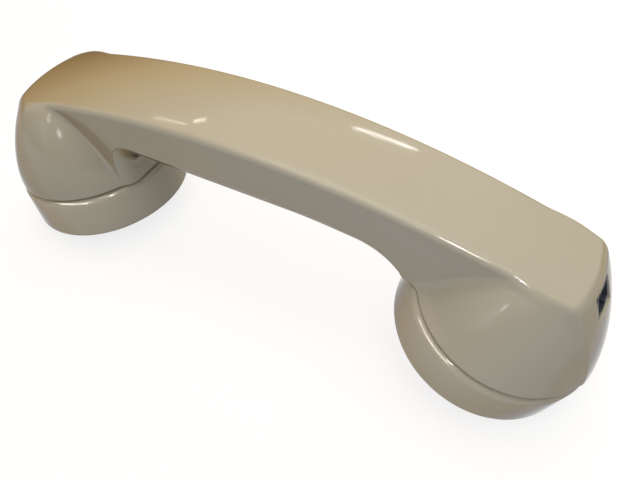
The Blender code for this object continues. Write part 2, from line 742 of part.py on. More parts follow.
def build_receiver_unit(frame, finishes):
    """The receiver's felt ring, case, grid, diaphragm, magnet, pole, coil and terminals."""
    felt = -CAP_FLOOR + CLEARANCE
    front = felt + FELT_THICKNESS + CLEARANCE
    top = front + RECEIVER_CASE_LENGTH
    case = RECEIVER_CASE_WALL
    body = BORE_RADIUS - 2 * CLEARANCE
    bore = body - case
    inside = top - case
    felt_profile = ring_profile(FACE_RIM - FELT_THICKNESS, bore + CAP_WALL, felt, felt + FELT_THICKNESS)
    turned("receiver_felt_ring", felt_profile, INNER_TURNS, finishes["felt"], frame)
    profile = cup_profile(NECK_RADIUS - CLEARANCE, body, case, front, FLANGE_THICKNESS, top, case)
    turned("receiver_case", profile, INNER_TURNS, finishes["aluminium"], frame)
    grid = turned("receiver_grid", disc_profile(bore - CLEARANCE, front, GRID_THICKNESS), INNER_TURNS,
                  finishes["aluminium"], frame)
    centres = hole_rings(1, 2 * HOLE_RING_PITCH)
    cut(grid, round_cutter("receiver_grid_holes", centres, 2 * HOLE_RADIUS, front - CUT_MARGIN,
                           front + CUT_MARGIN, HOLE_SIDES, frame))
    rim = front + GRID_THICKNESS + CLEARANCE
    profile = dome_sheet_profile(bore - CLEARANCE, rim, DIAPHRAGM_RISE, DIAPHRAGM_THICKNESS)
    turned("receiver_diaphragm", profile, INNER_TURNS, finishes["foil"], frame)
    yoke_top = inside - CLEARANCE
    yoke_base = yoke_top - YOKE_THICKNESS
    post_end = rim + DIAPHRAGM_RISE + 3 * DIAPHRAGM_THICKNESS
    profile = [(0.0, yoke_top), (MAGNET_OUTER, yoke_top), (MAGNET_OUTER, yoke_base),
               (POST_RADIUS, yoke_base), (POST_RADIUS, post_end), (0.0, post_end)]
    turned("receiver_pole_piece", profile, SMALL_TURNS, finishes["steel"], frame)
    magnet = ring_profile(MAGNET_INNER, MAGNET_OUTER, post_end, yoke_base - CLEARANCE)
    turned("receiver_magnet", magnet, SMALL_TURNS, finishes["magnet"], frame)
    coil = ring_profile(POST_RADIUS + CLEARANCE, MAGNET_INNER - CLEARANCE, post_end + CLEARANCE,
                        yoke_base - CLEARANCE)
    turned("receiver_coil", coil, SMALL_TURNS, finishes["copper"], frame)
    build_terminals(frame, top + CLEARANCE, finishes)


def ring_profile(inner, outer, low, high):
    """A flat ring: its outer side first, from top to bottom."""
    return [(outer, high), (outer, low), (inner, low), (inner, high)]


def disc_profile(radius, low, thickness):
    """A flat disc."""
    return [(0.0, low + thickness), (radius, low + thickness), (radius, low), (0.0, low)]


def dome_sheet_profile(radius, low, rise, thickness):
    """A thin sheet that is flat at its rim and domed towards the middle."""
    upper = []
    for share in np.linspace(0.0, 1.0, DISH_STEPS + 1):
        upper.append((radius * share, low + thickness + rise * (1.0 - smooth_step(share))))
    lower = [(r, h - thickness) for r, h in reversed(upper)]
    return upper + lower


def screw_profile(seat, drop):
    """A binding-head screw: head above its seat, plain shank below it."""
    shank = SCREW_RADIUS * SHANK_SHARE
    top = seat + SCREW_HEAD
    crown = SCREW_RADIUS * SCREW_CROWN_SHARE
    return [(0.0, top), (crown, top), (SCREW_RADIUS, top - SCREW_HEAD / 3),
            (SCREW_RADIUS, seat), (shank, seat), (shank, seat - drop), (0.0, seat - drop)]


def place_screw(name, x, y, seat, drop, finishes, frame):
    """A terminal screw at its place in an end's frame."""
    screw = turned(name, screw_profile(seat, drop), SCREW_TURNS, finishes["brass"], frame)
    screw.location = (x, y, 0.0)
    return screw


def build_terminals(frame, seat, finishes):
    """Terminal board on the receiver's back, its two screws and the click suppressor between them."""
    board = turned("receiver_terminal_board",
                   disc_profile(TERMINAL_BOARD_RADIUS, seat, TERMINAL_BOARD_THICKNESS), INNER_TURNS,
                   finishes["phenolic"], frame)
    places = [(-TERMINAL_SPACING / 2, 0.0), (TERMINAL_SPACING / 2, 0.0)]
    top = seat + TERMINAL_BOARD_THICKNESS
    hole = SCREW_RADIUS * SHANK_SHARE + CLEARANCE
    cut(board, round_cutter("terminal_board_holes", places, hole, seat - CUT_MARGIN, top + CUT_MARGIN,
                            HOLE_SIDES, frame))
    for (x, y), letter in zip(places, "ab"):
        place_screw("receiver_terminal_" + letter, x, y, top + CLEARANCE,
                    TERMINAL_BOARD_THICKNESS, finishes, frame)
    half = TERMINAL_SPACING / 2 - SCREW_RADIUS - CLEARANCE
    end_radius = SUPPRESSOR_RADIUS - SUPPRESSOR_CHAMFER
    straight = half - SUPPRESSOR_CHAMFER
    body = [(0.0, half), (end_radius, half), (SUPPRESSOR_RADIUS, straight),
            (SUPPRESSOR_RADIUS, -straight), (end_radius, -half), (0.0, -half)]
    suppressor = turned("click_suppressor", body, SCREW_TURNS, finishes["black"], frame)
    suppressor.rotation_euler = Euler((0.0, math.pi / 2, 0.0))
    suppressor.location = (0.0, 0.0, top + CLEARANCE + SUPPRESSOR_RADIUS)


def transmitter_front():
    """Height of the transmitter unit's front, which rests on the floor of its cap."""
    return -(CAP_HEIGHT - TRANSMITTER_DISH_DEPTH - CAP_FACE_THICKNESS) + CLEARANCE


def build_transmitter_unit(frame, finishes):
    """The contact cup and the transmitter unit that sits in it."""
    front = transmitter_front()
    cup_front = front + FLANGE_THICKNESS + CLEARANCE
    cup_flange = -NECK_LENGTH - CLEARANCE - cup_front
    top = front + TRANSMITTER_CASE_LENGTH
    cup_floor = top + SPRING_SPACE
    cup_top = cup_floor + CONTACT_CUP_WALL
    cup_body = BORE_RADIUS - CLEARANCE
    flange_radius = NECK_RADIUS - CLEARANCE
    profile = cup_profile(flange_radius, cup_body, CONTACT_CUP_WALL, cup_front, cup_flange, cup_top,
                          CONTACT_CUP_WALL)
    cup = turned("contact_cup", profile, INNER_TURNS, finishes["phenolic"], frame)
    places = [(-SPRING_SCREW_X, 0.0), (SPRING_SCREW_X, 0.0)]
    hole = SCREW_RADIUS * SHANK_SHARE + CLEARANCE
    cut(cup, round_cutter("contact_cup_holes", places, hole, cup_floor - CUT_MARGIN,
                          cup_top + CUT_MARGIN, HOLE_SIDES, frame))
    for (x, y), letter in zip(places, "ab"):
        place_screw("contact_screw_" + letter, x, y, cup_top + CLEARANCE, CONTACT_CUP_WALL, finishes,
                    frame)
    body = cup_body - CONTACT_CUP_WALL - CLEARANCE
    bore = body - RECEIVER_CASE_WALL
    profile = cup_profile(flange_radius, body, RECEIVER_CASE_WALL, front, FLANGE_THICKNESS, top,
                          RECEIVER_CASE_WALL)
    case = turned("transmitter_case", profile, INNER_TURNS, finishes["brass_plate"], frame)
    cut(case, round_cutter("transmitter_case_hole", [(0.0, 0.0)], BUTTON_RADIUS + CLEARANCE,
                           top - CUT_MARGIN, top + CUT_MARGIN, SMALL_TURNS, frame))
    grid = turned("transmitter_grid", disc_profile(bore - CLEARANCE, front, GRID_THICKNESS), INNER_TURNS,
                  finishes["brass_plate"], frame)
    cut(grid, round_cutter("transmitter_grid_holes", hole_rings(1, 2 * HOLE_RING_PITCH),
                           2 * HOLE_RADIUS, front - CUT_MARGIN, front + CUT_MARGIN, HOLE_SIDES, frame))
    rim = front + GRID_THICKNESS + CLEARANCE
    profile = dome_sheet_profile(bore - CLEARANCE, rim, DIAPHRAGM_RISE, DIAPHRAGM_THICKNESS)
    turned("transmitter_diaphragm", profile, INNER_TURNS, finishes["foil"], frame)
    chamber_low = rim + DIAPHRAGM_RISE + DIAPHRAGM_THICKNESS + CLEARANCE
    chamber_high = top - RECEIVER_CASE_WALL - CLEARANCE
    chamber = ring_profile(BUTTON_RADIUS + CLEARANCE, CHAMBER_RADIUS, chamber_low, chamber_high)
    turned("carbon_chamber", chamber, SMALL_TURNS, finishes["brass"], frame)
    button_low = chamber_low + DIAPHRAGM_THICKNESS
    button_top = top + CLEARANCE
    button = [(0.0, button_top), (BUTTON_RADIUS - BUTTON_CHAMFER, button_top),
              (BUTTON_RADIUS, button_top - BUTTON_CHAMFER), (BUTTON_RADIUS, button_low),
              (0.0, button_low)]
    turned("rear_electrode", button, SMALL_TURNS, finishes["brass"], frame)
    build_springs(frame, button_top, top, cup_floor, finishes)


def build_springs(frame, button_top, case_top, cup_floor, finishes):
    """Two leaf springs under the cup's floor: one to the electrode's button, one to the case."""
    seat = cup_floor - CLEARANCE - SPRING_THICKNESS / 2
    for letter, root, tip, tip_height in (
            ("a", SPRING_SCREW_X + SCREW_RADIUS, BUTTON_TOUCH_RADIUS, button_top),
            ("b", -SPRING_SCREW_X + SCREW_RADIUS, -SPRING_SCREW_X - SCREW_RADIUS, case_top)):
        low = tip_height + CLEARANCE + SPRING_THICKNESS / 2
        flat_end = root + (tip - root) * SPRING_FLAT_SHARE
        slope_end = root + (tip - root) * SPRING_SLOPE_SHARE
        line = [(root, seat), (flat_end, seat), (slope_end, low), (tip, low + SPRING_THICKNESS)]
        flat_strip("contact_spring_" + letter, line, SPRING_THICKNESS, SPRING_WIDTH,
                   finishes["brass"], frame)


def build_jack(frame, finishes):
    """The jack's moulded body with its stepped socket, and the row of wire contacts in it."""
    front = -JACK_RECESS
    back = front - JACK_DEPTH
    body = block("handset_jack", (back, -JACK_WIDTH / 2, -JACK_HEIGHT / 2),
                 (front, JACK_WIDTH / 2, JACK_HEIGHT / 2), finishes["jack"], frame)
    floor = back + JACK_WALL_THICKNESS
    half_width = JACK_SOCKET_WIDTH / 2
    top = JACK_SOCKET_HEIGHT / 2 + JACK_LATCH_HEIGHT / 2
    bottom = top - JACK_SOCKET_HEIGHT
    cut(body, block("jack_socket", (floor, -half_width, bottom), (CUT_MARGIN, half_width, top),
                    parent=frame, cutter=True))
    cut(body, block("jack_latch_way", (floor, -JACK_LATCH_WIDTH / 2, bottom - JACK_LATCH_HEIGHT),
                    (CUT_MARGIN, JACK_LATCH_WIDTH / 2, bottom + CLEARANCE), parent=frame, cutter=True))
    ceiling = top - CLEARANCE - JACK_CONTACT_RADIUS
    for index in range(JACK_CONTACT_COUNT):
        y = (index - (JACK_CONTACT_COUNT - 1) / 2) * JACK_CONTACT_PITCH
        path = [(front - JACK_CONTACT_START, y, ceiling), (front - JACK_CONTACT_BEND, y, ceiling),
                (front - JACK_CONTACT_END, y, ceiling - JACK_CONTACT_DROP)]
        tube("jack_contact_%d" % (index + 1), path, JACK_CONTACT_RADIUS, LEAD_FINENESS,
             finishes["brass"], frame)


def build_leads(jack_place, finishes):
    """Four leads from the back of the jack: two through the grip, two down to the contact cup."""
    back = -JACK_RECESS - JACK_DEPTH - CLEARANCE
    middle = (JACK_CONTACT_COUNT - 1) / 2
    tails = []
    for index in range(JACK_CONTACT_COUNT):
        tail = jack_place @ Vector((back, (index - middle) * LEAD_PITCH, 0.0))
        tails.append((tail, tail + Vector((-LEAD_TAIL, 0.0, -LEAD_RADIUS))))
    head_space = SCREW_HEAD + 2 * CLEARANCE + LEAD_RADIUS
    board_top = -CAP_FLOOR + FELT_THICKNESS + 3 * CLEARANCE + RECEIVER_CASE_LENGTH
    head = board_top + TERMINAL_BOARD_THICKNESS + head_space
    route = [Vector(point) for point in passage_route()[1:-1]]
    for letter, index, side in (("a", 1, -1), ("b", 2, 1)):
        y = side * LEAD_PITCH / 2
        low = Vector((0.0, y, -LEAD_PASSAGE_RADIUS / 2))
        x = -side * TERMINAL_SPACING / 2
        points = [
            *tails[index],
            *[point + low for point in reversed(route)],
            RECEIVER.world(x - LEAD_RISE / 2, y, head + LEAD_RISE),
            RECEIVER.world(x, 0.0, head),
        ]
        tube("receiver_lead_" + letter, smooth_path(points, LEAD_POINT_COUNT), LEAD_RADIUS, LEAD_FINENESS,
             finishes["lead_white"])
    cup_top = transmitter_front() + TRANSMITTER_CASE_LENGTH + SPRING_SPACE + CONTACT_CUP_WALL
    seat = cup_top + head_space
    for letter, index, side, colour in (("a", 0, 1, "lead_red"), ("b", 3, -1, "lead_black")):
        points = [
            *tails[index],
            TRANSMITTER.world(side * SPRING_SCREW_X / 4, tails[index][0].y, seat + LEAD_RISE / 2),
            TRANSMITTER.world(side * SPRING_SCREW_X, 0.0, seat),
        ]
        tube("transmitter_lead_" + letter, smooth_path(points, SHORT_LEAD_POINT_COUNT), LEAD_RADIUS,
             LEAD_FINENESS, finishes[colour])


def build_wad(finishes):
    """The acoustic wad in the upper half of the lead passage, over the leads."""
    radius = LEAD_PASSAGE_RADIUS - 2 * CLEARANCE
    points = arc((0.0, 0.0), radius, 0, 180, SMALL_TURNS // 2)
    curve = bpy.data.curves.new("acoustic_wad", "CURVE")
    curve.dimensions = "2D"
    curve.fill_mode = "BOTH"
    curve.extrude = WAD_LENGTH / 2
    spline = curve.splines.new("POLY")
    spline.points.add(len(points) - 1)
    for spline_point, point in zip(spline.points, points):
        spline_point.co = (point[0], point[1], 0.0, 1.0)
    spline.use_cyclic_u = True
    piece = add_object("acoustic_wad", curve, finishes["foam"])
    piece.rotation_euler = Euler((math.pi / 2, 0.0, math.pi / 2))
    piece.location = (0.0, 0.0, (GRIP_UNDERSIDE + BACK_HEIGHT) / 2)


def clear_scene():
    """Remove everything that is in the scene."""
    for item in list(bpy.data.objects):
        bpy.data.objects.remove(item, do_unlink=True)


def new_collection(name):
    """A collection of the scene."""
    collection = bpy.data.collections.new(name)
    bpy.context.scene.collection.children.link(collection)
    return collection


clear_scene()
PARTS = new_collection(COLLECTION_NAME)
CUTTERS = new_collection("cutters")

FINISHES = {
    "ivory": material("ivory_plastic", (0.46, 0.40, 0.29), 0.22),
    "jack": material("jack_plastic", (0.045, 0.05, 0.055), 0.4),
    "aluminium": material("aluminium_sheet", (0.75, 0.75, 0.74), 0.35, 1.0),
    "foil": material("diaphragm_foil", (0.80, 0.79, 0.76), 0.3, 1.0),
    "steel": material("plated_steel", (0.55, 0.55, 0.55), 0.35, 1.0),
    "magnet": material("ferrite", (0.06, 0.06, 0.065), 0.6),
    "copper": material("enamelled_copper", (0.55, 0.22, 0.1), 0.4, 1.0),
    "brass": material("brass", (0.7, 0.52, 0.24), 0.3, 1.0),
    "brass_plate": material("lacquered_brass", (0.62, 0.5, 0.28), 0.4, 1.0),
    "phenolic": material("phenolic_board", (0.12, 0.06, 0.03), 0.5),
    "black": material("suppressor_body", (0.03, 0.03, 0.03), 0.4),
    "felt": material("felt", (0.35, 0.34, 0.32), 0.95),
    "foam": material("foam", (0.3, 0.3, 0.28), 0.95),
    "lead_white": material("white_lead", (0.75, 0.74, 0.7), 0.5),
    "lead_red": material("red_lead", (0.5, 0.03, 0.03), 0.5),
    "lead_black": material("black_lead", (0.02, 0.02, 0.02), 0.5),
}

RECEIVER_FRAME = add_frame("receiver_frame", RECEIVER.matrix())
TRANSMITTER_FRAME = add_frame("transmitter_frame", TRANSMITTER.matrix())
JACK_PLACE = jack_matrix()
JACK_FRAME = add_frame("jack_frame", JACK_PLACE)
ENDS = ((RECEIVER, RECEIVER_FRAME, "receiver"), (TRANSMITTER, TRANSMITTER_FRAME, "transmitter"))

build_shell(FINISHES["ivory"], JACK_FRAME)
build_cap("receiver_cap", RECEIVER_FRAME, RECEIVER_DISH_DEPTH, RECEIVER_HOLE_RINGS, FINISHES["ivory"])
build_cap("transmitter_cap", TRANSMITTER_FRAME, TRANSMITTER_DISH_DEPTH, TRANSMITTER_HOLE_RINGS,
          FINISHES["ivory"])
build_receiver_unit(RECEIVER_FRAME, FINISHES)
build_transmitter_unit(TRANSMITTER_FRAME, FINISHES)
build_jack(JACK_FRAME, FINISHES)
build_leads(JACK_PLACE, FINISHES)
build_wad(FINISHES)
bpy.context.view_layer.update()
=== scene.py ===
"""Looks of the desk telephone handset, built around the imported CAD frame.

Units are metres and the handset lies caps down, as the frame does. X runs from the receiver (ear) end to
the transmitter (mouth) end. The moulded handle is drawn again here as a fine skin over the same form: an
arched back, a grip with two legs, and two round domes that end walls cut off.
"""
import json
import math

import bmesh
import bpy
import numpy as np
from mathutils import Matrix, Vector

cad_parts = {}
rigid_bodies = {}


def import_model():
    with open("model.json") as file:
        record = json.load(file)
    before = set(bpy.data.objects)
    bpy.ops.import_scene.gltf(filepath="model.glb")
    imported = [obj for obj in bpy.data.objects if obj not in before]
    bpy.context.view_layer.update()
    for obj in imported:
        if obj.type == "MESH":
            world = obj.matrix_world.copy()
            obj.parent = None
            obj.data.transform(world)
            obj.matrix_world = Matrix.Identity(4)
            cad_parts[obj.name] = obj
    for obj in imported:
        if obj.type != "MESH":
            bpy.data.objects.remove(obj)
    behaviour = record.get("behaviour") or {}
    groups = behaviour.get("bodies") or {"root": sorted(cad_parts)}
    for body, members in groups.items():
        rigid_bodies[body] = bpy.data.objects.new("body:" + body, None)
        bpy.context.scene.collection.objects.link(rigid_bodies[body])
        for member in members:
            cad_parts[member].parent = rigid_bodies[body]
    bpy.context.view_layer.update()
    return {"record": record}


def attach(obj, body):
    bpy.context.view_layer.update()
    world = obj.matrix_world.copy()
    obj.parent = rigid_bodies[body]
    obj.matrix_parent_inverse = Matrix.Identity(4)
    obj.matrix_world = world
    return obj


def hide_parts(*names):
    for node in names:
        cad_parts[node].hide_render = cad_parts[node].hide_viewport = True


MM = 0.001

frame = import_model()

# Form of the caps and housings, as in the frame, with the photograph's rounder edges and wider seam
CAP_RADIUS = 28.5 * MM
CAP_HEIGHT = 15.6 * MM
CAP_WALL = 2.5 * MM
CAP_FACE_THICKNESS = 2.0 * MM
CAP_SPACING = 150.0 * MM
CAP_EDGE_RADIUS = 1.6 * MM
CAP_SHOULDER_RADIUS = 2.1 * MM
SEAM_GAP = 0.8 * MM
FACE_RIM = 20.5 * MM
RECEIVER_TILT = math.radians(11.0)
TRANSMITTER_TILT = math.radians(19.0)
RECEIVER_DISH_DEPTH = 2.2 * MM
TRANSMITTER_DISH_DEPTH = 1.2 * MM
HOUSING_STEP = 0.4 * MM
HOUSING_WALL = 3.0 * MM
HOUSING_EDGE_RADIUS = 0.7 * MM
NECK_WALL = 2.0 * MM
CLEARANCE = 0.3 * MM
HOUSING_RADIUS = CAP_RADIUS - HOUSING_STEP
NECK_RADIUS = CAP_RADIUS - CAP_WALL - CLEARANCE
NECK_LENGTH = 8.6 * MM
BORE_RADIUS = NECK_RADIUS - NECK_WALL
ROOF_WALL = HOUSING_WALL * 1.5
DOME_CUT_SHARE = 0.97
INNER_SHARE_HEIGHT = 4.0 * MM
END_WALL_PLAN_RADIUS = 36.0 * MM

# Form of the back, the grip and its legs, as in the frame, with the photograph's rounder back edge
BACK_HEIGHT = 59.6 * MM
BACK_RADIUS = 309.0 * MM
BACK_CENTRE_X = -2.9 * MM
BACK_CROWN = 0.8 * MM
BACK_CROWN_REACH = 1.3
GRIP_HALF_WIDTH = 15.5 * MM
GRIP_TAPER = 0.014
GRIP_WAIST_RADIUS = 5550.0 * MM
GRIP_DRAFT = 0.067
GRIP_DEPTH = 18.6 * MM
GRIP_UNDERSIDE = BACK_HEIGHT - GRIP_DEPTH
GRIP_UNDERSIDE_CROWN = 0.7 * MM
GRIP_EDGE_RADIUS = 5.0 * MM
GRIP_EDGE_BREAK = 0.1 * MM
LEG_EDGE_RADIUS = 1.5 * MM
LEG_EDGE_REACH = 34.0 * MM
LEG_GAP_HALF = 47.4 * MM
RECEIVER_CROTCH = 11.0 * MM
TRANSMITTER_CROTCH = 8.5 * MM
TRANSMITTER_LEG_LEAN = math.radians(32.0)
TRANSMITTER_LEG_OVERHANG = 1.5 * MM
BACK_EDGE_RADIUS = 1.7 * MM

# Mould line where the grip's flat sides meet the rounding of their lower edges
MOULD_LINE_RADIUS = 0.13 * MM
MOULD_LINE_CENTRE = (0.0, 20.0 * MM)
MOULD_LINE_POINTS = 300
MOULD_LINE_REACH = 90.0 * MM
MOULD_LINE_SIDES = 8

# Sound holes, jack and lead passage
HOLE_RADIUS = 1.1 * MM
HOLE_COUNTERSINK = 0.35 * MM
HOLE_RING_PITCH = 4.6 * MM
HOLES_MORE_PER_RING = 6
RECEIVER_HOLE_RINGS = 1
TRANSMITTER_HOLE_RINGS = 2
JACK_WIDTH = 9.4 * MM
JACK_HEIGHT = 8.0 * MM
JACK_DEPTH = 13.0 * MM
JACK_SOCKET_WIDTH = 7.9 * MM
JACK_SOCKET_HEIGHT = 5.8 * MM
JACK_LATCH_WIDTH = 3.4 * MM
JACK_LATCH_HEIGHT = 1.1 * MM
JACK_WALL_THICKNESS = 1.5 * MM
JACK_RECESS = 0.5 * MM
JACK_DROP = 20.6 * MM
JACK_CENTRE_Z = BACK_HEIGHT - JACK_DROP
JACK_PITCH = math.radians(17.0)
JACK_EDGE_RADIUS = 0.35 * MM
JACK_CONTACT_COUNT = 4
JACK_CONTACT_PITCH = 1.1 * MM
JACK_CONTACT_RADIUS = 0.25 * MM
JACK_CONTACT_BEND_RADIUS = 3 * JACK_CONTACT_RADIUS
JACK_CONTACT_START = 4.4 * MM
JACK_CONTACT_BEND = 5.6 * MM
JACK_CONTACT_END = 9.8 * MM
JACK_CONTACT_DROP = 3.0 * MM
LEVEL_TO_WALL = 22.0 * MM
PASSAGE_RADIUS = 5.2 * MM
PASSAGE_ENTRY = 6.0 * MM
PASSAGE_FLOOR = HOUSING_WALL / 4
CUT_MARGIN = 4.0 * MM

# Painted shade multiplied into the ivory's colour, from none where it is seen head-on to darker and browner
# where it is seen edge-on
IVORY_PAINTED_EDGE_SHADE = ((0.4, "#FFFFFF"), (0.59, "#F2E4CA"), (0.7, "#D2BC96"), (0.785, "#907C5A"), (0.93, "#544632"))

# Floor and room, the room's colours in order from the receiver's side to the transmitter's
FLOOR_HALF = 3.0
FLOOR_LIFT = 0.8
FLOOR_COLOUR = "#8E8C88"
FLOOR_ROUGHNESS = 0.9
ROOM_STRENGTH = 0.3
ROOM_COLOURS = ((0.05, "#6B4A24"), (0.28, "#EBD7B4"), (0.5, "#F4F2EE"), (0.72, "#D6D8DE"),
                (1.0, "#544E48"))
BACKDROP_COLOUR = "#F4F3F0"

# Distance of the lamps for the gloss, in metres, and the aims of the lamps, in millimetres
GLOSS_DISTANCE = 1.2
GRIP_AIM = (0.0, 0.0, 40.0)
GRIP_SIDE_AIM = (42.0, -15.0, 42.0)
RECEIVER_AIM = (-68.0, -18.0, 46.0)
TRANSMITTER_AIM = (74.0, -18.0, 42.0)

# Fineness of the meshes, and the bends in degrees up to which they are shaded smooth
PIVOT_OFFSET = 10.0 * MM
FAN_SAMPLES = 400
FAN_SECTIONS = 110
GRIP_SECTIONS = 56
SECTION_SPACING = 2.2 * MM
SECTION_TURN = math.radians(7)
SECTION_REACH = BACK_HEIGHT + CAP_RADIUS
MARCH_STEP = 1.2 * MM
MARCH_HALVINGS = 18
RAY_COUNT = 420
SKIN_HALF_POINTS = 100
OUTLINE_SPACING = 1.2 * MM
OUTLINE_TURN = math.radians(6)
ROUNDING_STEPS = 6
BORE_STEPS = 24
CAP_TURNS = 144
HOLE_SIDES = 20
WIRE_SIDES = 12
EDGE_SEGMENTS = 3
PASSAGE_ROUNDNESS = 4
PASSAGE_STEPS = 6
WELD_DISTANCE = 0.01 * MM
ON_AXIS = 1e-9
SMOOTH_BELOW = 35.0
HANDLE_SMOOTH_BELOW = 50.0
MOULD_LINE_SMOOTH_BELOW = 60.0

# Camera that was matched to the photograph's outline and seams
CAMERA_TARGET = Vector((0.5 * MM, 0.0, -12.1 * MM))
CAMERA_DISTANCE = 247.71 * MM
CAMERA_AZIMUTH = math.radians(33.88)
CAMERA_ELEVATION = math.radians(50.73)
CAMERA_ROLL = math.radians(-4.3)
CAMERA_LENS_MM = 39.29
CAMERA_SENSOR_MM = 36.0
CAMERA_SHIFT = (0.055, 0.0728)


def smooth_step(t):
    """Rise from 0 to 1 with a level start and end."""
    t = np.clip(t, 0.0, 1.0)
    return t * t * (3.0 - 2.0 * t)


def round_max(a, b, radius):
    """Intersection of two fields whose common edge is rounded."""
    edge = np.hypot(np.maximum(a + radius, 0.0), np.maximum(b + radius, 0.0))
    return edge + np.minimum(np.maximum(a, b) + radius, 0.0) - radius


def round_min(a, b, radius):
    """Union of two fields whose common crease is filleted."""
    return -round_max(-a, -b, radius)


def soft_max(a, b, width):
    """Intersection of two fields that blends over a width."""
    blend = np.maximum(width - np.abs(a - b), 0.0) / width
    return np.maximum(a, b) + blend * blend * width / 4.0


class End:
    """One end of the handset: its seam centre, outward and upward directions, and its dome."""

    def __init__(self, name, side, tilt, dome, wall, corner_radius, crease_radius):
        rim = CAP_RADIUS - CAP_EDGE_RADIUS
        drop = CAP_HEIGHT - CAP_EDGE_RADIUS
        seam_height = rim * math.sin(tilt) + drop * math.cos(tilt) + CAP_EDGE_RADIUS
        self.name = name
        self.side = side
        self.tilt = tilt
        self.centre = np.array([side * CAP_SPACING / 2, 0.0, seam_height])
        self.outward = np.array([side * math.cos(tilt), 0.0, -math.sin(tilt)])
        self.upward = np.array([side * math.sin(tilt), 0.0, math.cos(tilt)])
        self.dome_height, self.dome_power, self.inner_share = dome
        self.wall_lean, self.wall_bend_radius = wall
        self.corner_radius = corner_radius
        self.crease_radius = crease_radius

    def local(self, points):
        """World points as outward, across and upward coordinates of this end."""
        offset = points - self.centre
        return offset @ self.outward, offset[..., 1], offset @ self.upward

    def world(self, u, y, h):
        """A point of this end in world coordinates."""
        return Vector(self.centre + u * self.outward + np.array([0.0, y, 0.0]) + h * self.upward)

    def dome_radius(self, h):
        """Radius of the dome in plan, from the seam's circle up to the narrow back."""
        rise = np.clip(h / self.dome_height, 0.0, DOME_CUT_SHARE)
        return HOUSING_RADIUS * np.sqrt(1.0 - rise ** self.dome_power)

    def end_radius(self, h):
        """Reach of the end wall, which leans inward and bends over towards the back."""
        height = np.maximum(h, 0.0)
        return HOUSING_RADIUS - self.wall_lean * height - height ** 2 / (2 * self.wall_bend_radius)

    def matrix(self):
        """Placement of what is turned about this end's axis."""
        x_axis = Vector(self.outward)
        z_axis = Vector(self.upward)
        y_axis = z_axis.cross(x_axis)
        rotation = Matrix((x_axis, y_axis, z_axis)).transposed().to_4x4()
        return Matrix.Translation(Vector(self.centre)) @ rotation


# Each end has its dome's height, power and inner share, its wall's lean and bend, its corner and crease
RECEIVER = End(
    "receiver", -1, RECEIVER_TILT, (39.0 * MM, 1.8, 1.0), (0.42, 73.5 * MM), 6.0 * MM, 0.8 * MM)
TRANSMITTER = End(
    "transmitter", 1, TRANSMITTER_TILT, (33.6 * MM, 0.98, 0.95), (0.34, 40.3 * MM), 2.0 * MM, 2.0 * MM)


def back_height(x):
    """Height of the long edges of the back, a shallow arch."""
    return BACK_HEIGHT - (x - BACK_CENTRE_X) ** 2 / (2 * BACK_RADIUS)


def side_half_width(x, z):
    """Half width between the grip's side faces, which draw in slightly below the back."""
    at_back = GRIP_HALF_WIDTH - GRIP_TAPER * x - x ** 2 / (2 * GRIP_WAIST_RADIUS)
    return at_back - GRIP_DRAFT * (back_height(x) - z)


def finger_gap_field(x, z, underside):
    """Negative in the finger gap under the grip, between the legs of the two ends."""
    lean = TRANSMITTER_LEG_LEAN
    foot = TRANSMITTER.world(-HOUSING_RADIUS - TRANSMITTER_LEG_OVERHANG, 0.0, 0.0)
    receiver_leg = -(x + LEG_GAP_HALF)
    transmitter_leg = (x - foot.x) * math.cos(lean) + (z - foot.z) * math.sin(lean)
    gap = soft_max(z - underside, receiver_leg, RECEIVER_CROTCH)
    return soft_max(gap, transmitter_leg, TRANSMITTER_CROTCH)


def grip_field(points):
    """Negative in the grip with its two legs, which reach into the domes."""
    x, y, z = points[..., 0], points[..., 1], points[..., 2]
    half_width = side_half_width(x, z)
    side = np.abs(y) - half_width
    across = np.clip(y / half_width, -1.0, 1.0)
    underside = GRIP_UNDERSIDE - GRIP_UNDERSIDE_CROWN * (1.0 - across ** 2)
    below = -finger_gap_field(x, z, underside)
    return np.maximum(side, round_max(side - GRIP_EDGE_BREAK, below, leg_edge_radius(x)))


def leg_edge_radius(x):
    """Radius of the lower edges of the grip, which sharpen on the transmitter's leg."""
    sharpening = smooth_step((x - LEG_GAP_HALF + LEG_EDGE_REACH) / LEG_EDGE_REACH)
    return GRIP_EDGE_RADIUS + (LEG_EDGE_RADIUS - GRIP_EDGE_RADIUS) * sharpening


def dome_field(end, points):
    """Negative in one domed housing, which is round in plan and a little flatter towards the grip."""
    u, y, h = end.local(points)
    flatter = 1.0 + (end.inner_share - 1.0) * smooth_step(h / INNER_SHARE_HEIGHT)
    across = np.where(u > 0.0, u, u / flatter)
    return np.hypot(across, y) - end.dome_radius(h)


def wall_field(end, points):
    """Negative on the inner side of one end wall."""
    u, y, h = end.local(points)
    return u - end.end_radius(h) + y ** 2 / (2 * END_WALL_PLAN_RADIUS)


def back_field(points):
    """Negative below the arched, slightly crowned back."""
    x, y, z = points[..., 0], points[..., 1], points[..., 2]
    across = np.clip(y / GRIP_HALF_WIDTH, -BACK_CROWN_REACH, BACK_CROWN_REACH)
    return z - back_height(x) - BACK_CROWN * (1.0 - across ** 2)


def end_field(end, points):
    """Negative in the grip with one domed housing, filleted where they meet, behind its end wall."""
    sides = round_min(dome_field(end, points), grip_field(points), end.crease_radius)
    return round_max(sides, wall_field(end, points), end.corner_radius)


def housing_field(points):
    """Negative inside the outer form of the handle, positive outside it."""
    receiver = end_field(RECEIVER, points)
    transmitter = end_field(TRANSMITTER, points)
    sides = np.where(points[..., 0] < 0.0, receiver, transmitter)
    return round_max(back_field(points), sides, BACK_EDGE_RADIUS)


